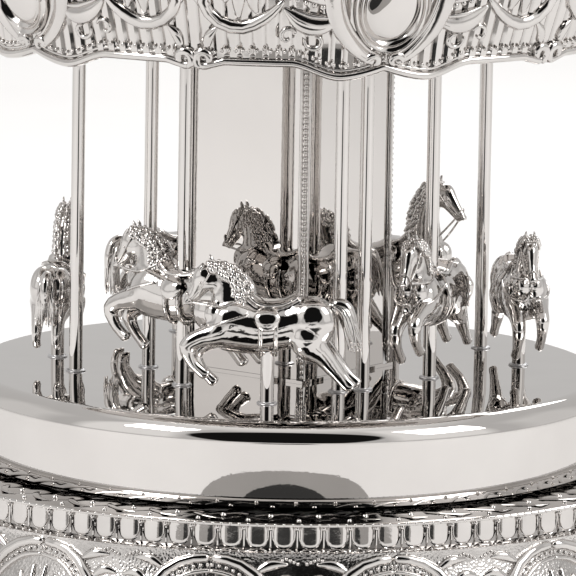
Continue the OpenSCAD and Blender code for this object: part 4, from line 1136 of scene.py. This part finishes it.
class CarouselStage(bpy.types.Operator):
    """Set the pale floor, the soft studio light and the camera"""
    bl_idname = "carousel.stage"
    bl_label = "Stage"

    def execute(self, context):
        self.floor()
        self.cards()
        self.world(context)
        self.lights()
        self.camera(context)
        return {"FINISHED"}

    def floor(self):
        bm = bmesh.new()
        bmesh.ops.create_circle(bm, cap_ends=True, segments=96, radius=6)
        mesh = loose_mesh("studio_floor", bm)
        paper, tree, shader = start_material("pale_paper")
        tone = two_colours(tree, ranged(tree, noise(tree, 3), 0, 1), (0.86, 0.85, 0.845), (0.9, 0.895, 0.89))
        tree.links.new(tone, shader.inputs["Base Color"])
        shader.inputs["Roughness"].default_value = 0.9
        mesh.materials.append(paper)
        floor = bpy.data.objects.new("studio_floor", mesh)
        bpy.context.scene.collection.objects.link(floor)

    def cards(self):
        """Dark cards lying in front of the carousel, seen only in its plate."""
        black, tree, shader = start_material("card_black")
        tree.links.new(two_colours(tree, noise(tree, 9), (0.004, 0.004, 0.004), (0.01, 0.01, 0.01)),
                       shader.inputs["Base Color"])
        shader.inputs["Roughness"].default_value = 0.9
        grey, tree, shader = start_material("card_grey")
        tree.links.new(two_colours(tree, noise(tree, 9), (0.30, 0.29, 0.28), (0.36, 0.35, 0.34)),
                       shader.inputs["Base Color"])
        shader.inputs["Roughness"].default_value = 0.9
        for name, paper, half, near, far, z in (("halo", grey, 0.175, 0.248, 0.432, 0.4),
                                                ("block", black, 0.105, 0.27, 0.41, 0.8),
                                                ("strip", black, 0.2, 0.58, 1.25, 0.8)):
            bm = bmesh.new()
            bmesh.ops.create_circle(bm, cap_ends=True, segments=4 if name == "strip" else 64, radius=1,
                                    matrix=Matrix.Rotation(math.radians(45), 4, "Z"))
            middle = Matrix.Translation((0, -(near + far) / 2, z * MM))
            stretch = Matrix.Diagonal((half, (far - near) / 2, 1, 1))
            bmesh.ops.transform(bm, verts=bm.verts, matrix=middle @ stretch)
            mesh = loose_mesh("card_" + name, bm)
            mesh.materials.append(paper)
            card = bpy.data.objects.new("card_" + name, mesh)
            card.visible_camera = False
            card.visible_diffuse = False
            card.visible_shadow = False
            bpy.context.scene.collection.objects.link(card)

    def world(self, context):
        """A pale studio round the object, with a dark gap behind the camera between two bright sides."""
        world = bpy.data.worlds.new("studio")
        context.scene.world = world
        world.use_nodes = True
        tree = world.node_tree
        tree.nodes.clear()
        place = tree.nodes.new("ShaderNodeTexCoord")
        split = tree.nodes.new("ShaderNodeSeparateXYZ")
        tree.links.new(place.outputs["Generated"], split.inputs["Vector"])

        def math_node(kind, a, b=None):
            node = tree.nodes.new("ShaderNodeMath")
            node.operation = kind
            for socket, value in zip(node.inputs, (a, b)):
                if value is None:
                    continue
                if isinstance(value, (int, float)):
                    socket.default_value = value
                else:
                    tree.links.new(value, socket)
            return node.outputs["Value"]

        def window(value, low, high, soft):
            rise = ranged(tree, value, 0, 1, low - soft, low + soft)
            fall = ranged(tree, value, 1, 0, high - soft, high + soft)
            return math_node("MULTIPLY", rise, fall)

        x, y, z = (split.outputs[axis] for axis in "XYZ")
        front = math_node("MULTIPLY", y, -1)
        azimuth = math_node("ABSOLUTE", math_node("ARCTAN2", x, front))
        across = math_node("POWER", math_node("DIVIDE", azimuth, 0.62), 2)
        height = math_node("DIVIDE", math_node("SUBTRACT", math_node("ARCSINE", z), 0.44), 0.56)
        height = math_node("POWER", math_node("ABSOLUTE", height), 2)
        gap = ranged(tree, math_node("ADD", across, height), 1, 0, 0.93, 1.07)
        sides = math_node("MULTIPLY", window(azimuth, 0.68, 1.35, 0.06), window(z, 0.02, 0.85, 0.04))
        back = math_node("MULTIPLY", window(azimuth, 1.65, 2.25, 0.1), window(z, -0.2, 0.6, 0.08))
        grey = math_node("ADD", 0.62, math_node("MULTIPLY", sides, 0.40))
        grey = math_node("ADD", grey, math_node("MULTIPLY", back, 0.16))
        overhead = ranged(tree, z, 0, 0.35, 0.8, 0.95)
        grey = math_node("ADD", grey, overhead)
        lit = math_node("MULTIPLY", grey, math_node("SUBTRACT", 1.0, math_node("MULTIPLY", gap, 0.985)))
        rays = tree.nodes.new("ShaderNodeLightPath")
        mix = tree.nodes.new("ShaderNodeMix")
        mix.data_type = "FLOAT"
        tree.links.new(rays.outputs["Is Camera Ray"], mix.inputs["Factor"])
        tree.links.new(lit, mix.inputs["A"])
        mix.inputs["B"].default_value = 1.05
        shade = tree.nodes.new("ShaderNodeBackground")
        shade.inputs["Color"].default_value = (1.0, 0.988, 0.975, 1)
        tree.links.new(mix.outputs["Result"], shade.inputs["Strength"])
        output = tree.nodes.new("ShaderNodeOutputWorld")
        tree.links.new(shade.outputs["Background"], output.inputs["Surface"])

    def lights(self):
        for name, place, size, power in (("key", (-0.9, -0.7, 1.1), 0.5, 9),
                                         ("fill", (1.0, -0.5, 0.9), 0.6, 6),
                                         ("rim", (0.2, 1.1, 1.0), 0.6, 5)):
            data = bpy.data.lights.new(name, "AREA")
            data.size = size
            data.energy = power
            lamp = bpy.data.objects.new(name, data)
            lamp.location = place
            lamp.rotation_euler = (-Vector(place)).to_track_quat("-Z", "Y").to_euler()
            bpy.context.scene.collection.objects.link(lamp)

    def camera(self, context):
        distance = 1.7
        elevation = math.radians(9.2)
        roll = math.radians(0.97)
        aim = Vector((0, 0, 0.097))
        place = aim + distance * Vector((0, -math.cos(elevation), math.sin(elevation)))
        data = bpy.data.cameras.new("camera")
        data.lens = 443
        data.clip_end = 30
        camera = bpy.data.objects.new("camera", data)
        turned = (aim - place).to_track_quat("-Z", "Y").to_matrix().to_4x4()
        camera.matrix_world = Matrix.Translation(place) @ turned @ Matrix.Rotation(roll, 4, "Z")
        context.scene.collection.objects.link(camera)
        context.scene.camera = camera
        context.scene.view_settings.view_transform = "Standard"


class CarouselPanel(bpy.types.Panel):
    """The carousel's sizes, finishes and pieces"""
    bl_idname = "VIEW3D_PT_carousel"
    bl_label = "Carousel music box"
    bl_space_type = "VIEW_3D"
    bl_region_type = "UI"
    bl_category = "Carousel"

    def draw(self, context):
        for group in (context.scene.carousel_sizes, context.scene.carousel_finishes):
            for name in group.__annotations__:
                self.layout.prop(group, name)
        for step in STEPS:
            self.layout.operator(step.bl_idname)


STEPS = (CarouselStage, CarouselBase, CarouselTurntable, CarouselHorses, CarouselCanopy, CarouselMechanism)
CLASSES = (CarouselSizes, CarouselFinishes) + STEPS + (CarouselPanel,)


def register():
    for item in CLASSES:
        bpy.utils.register_class(item)
    bpy.types.Scene.carousel_sizes = PointerProperty(type=CarouselSizes)
    bpy.types.Scene.carousel_finishes = PointerProperty(type=CarouselFinishes)


def unregister():
    del bpy.types.Scene.carousel_sizes
    del bpy.types.Scene.carousel_finishes
    for item in reversed(CLASSES):
        bpy.utils.unregister_class(item)


def main():
    register()
    bpy.ops.carousel.stage()
    bpy.ops.carousel.base()
    bpy.ops.carousel.turntable()
    bpy.ops.carousel.horses()
    bpy.ops.carousel.canopy()
    bpy.ops.carousel.mechanism()


if __name__ == "__main__":
    main()
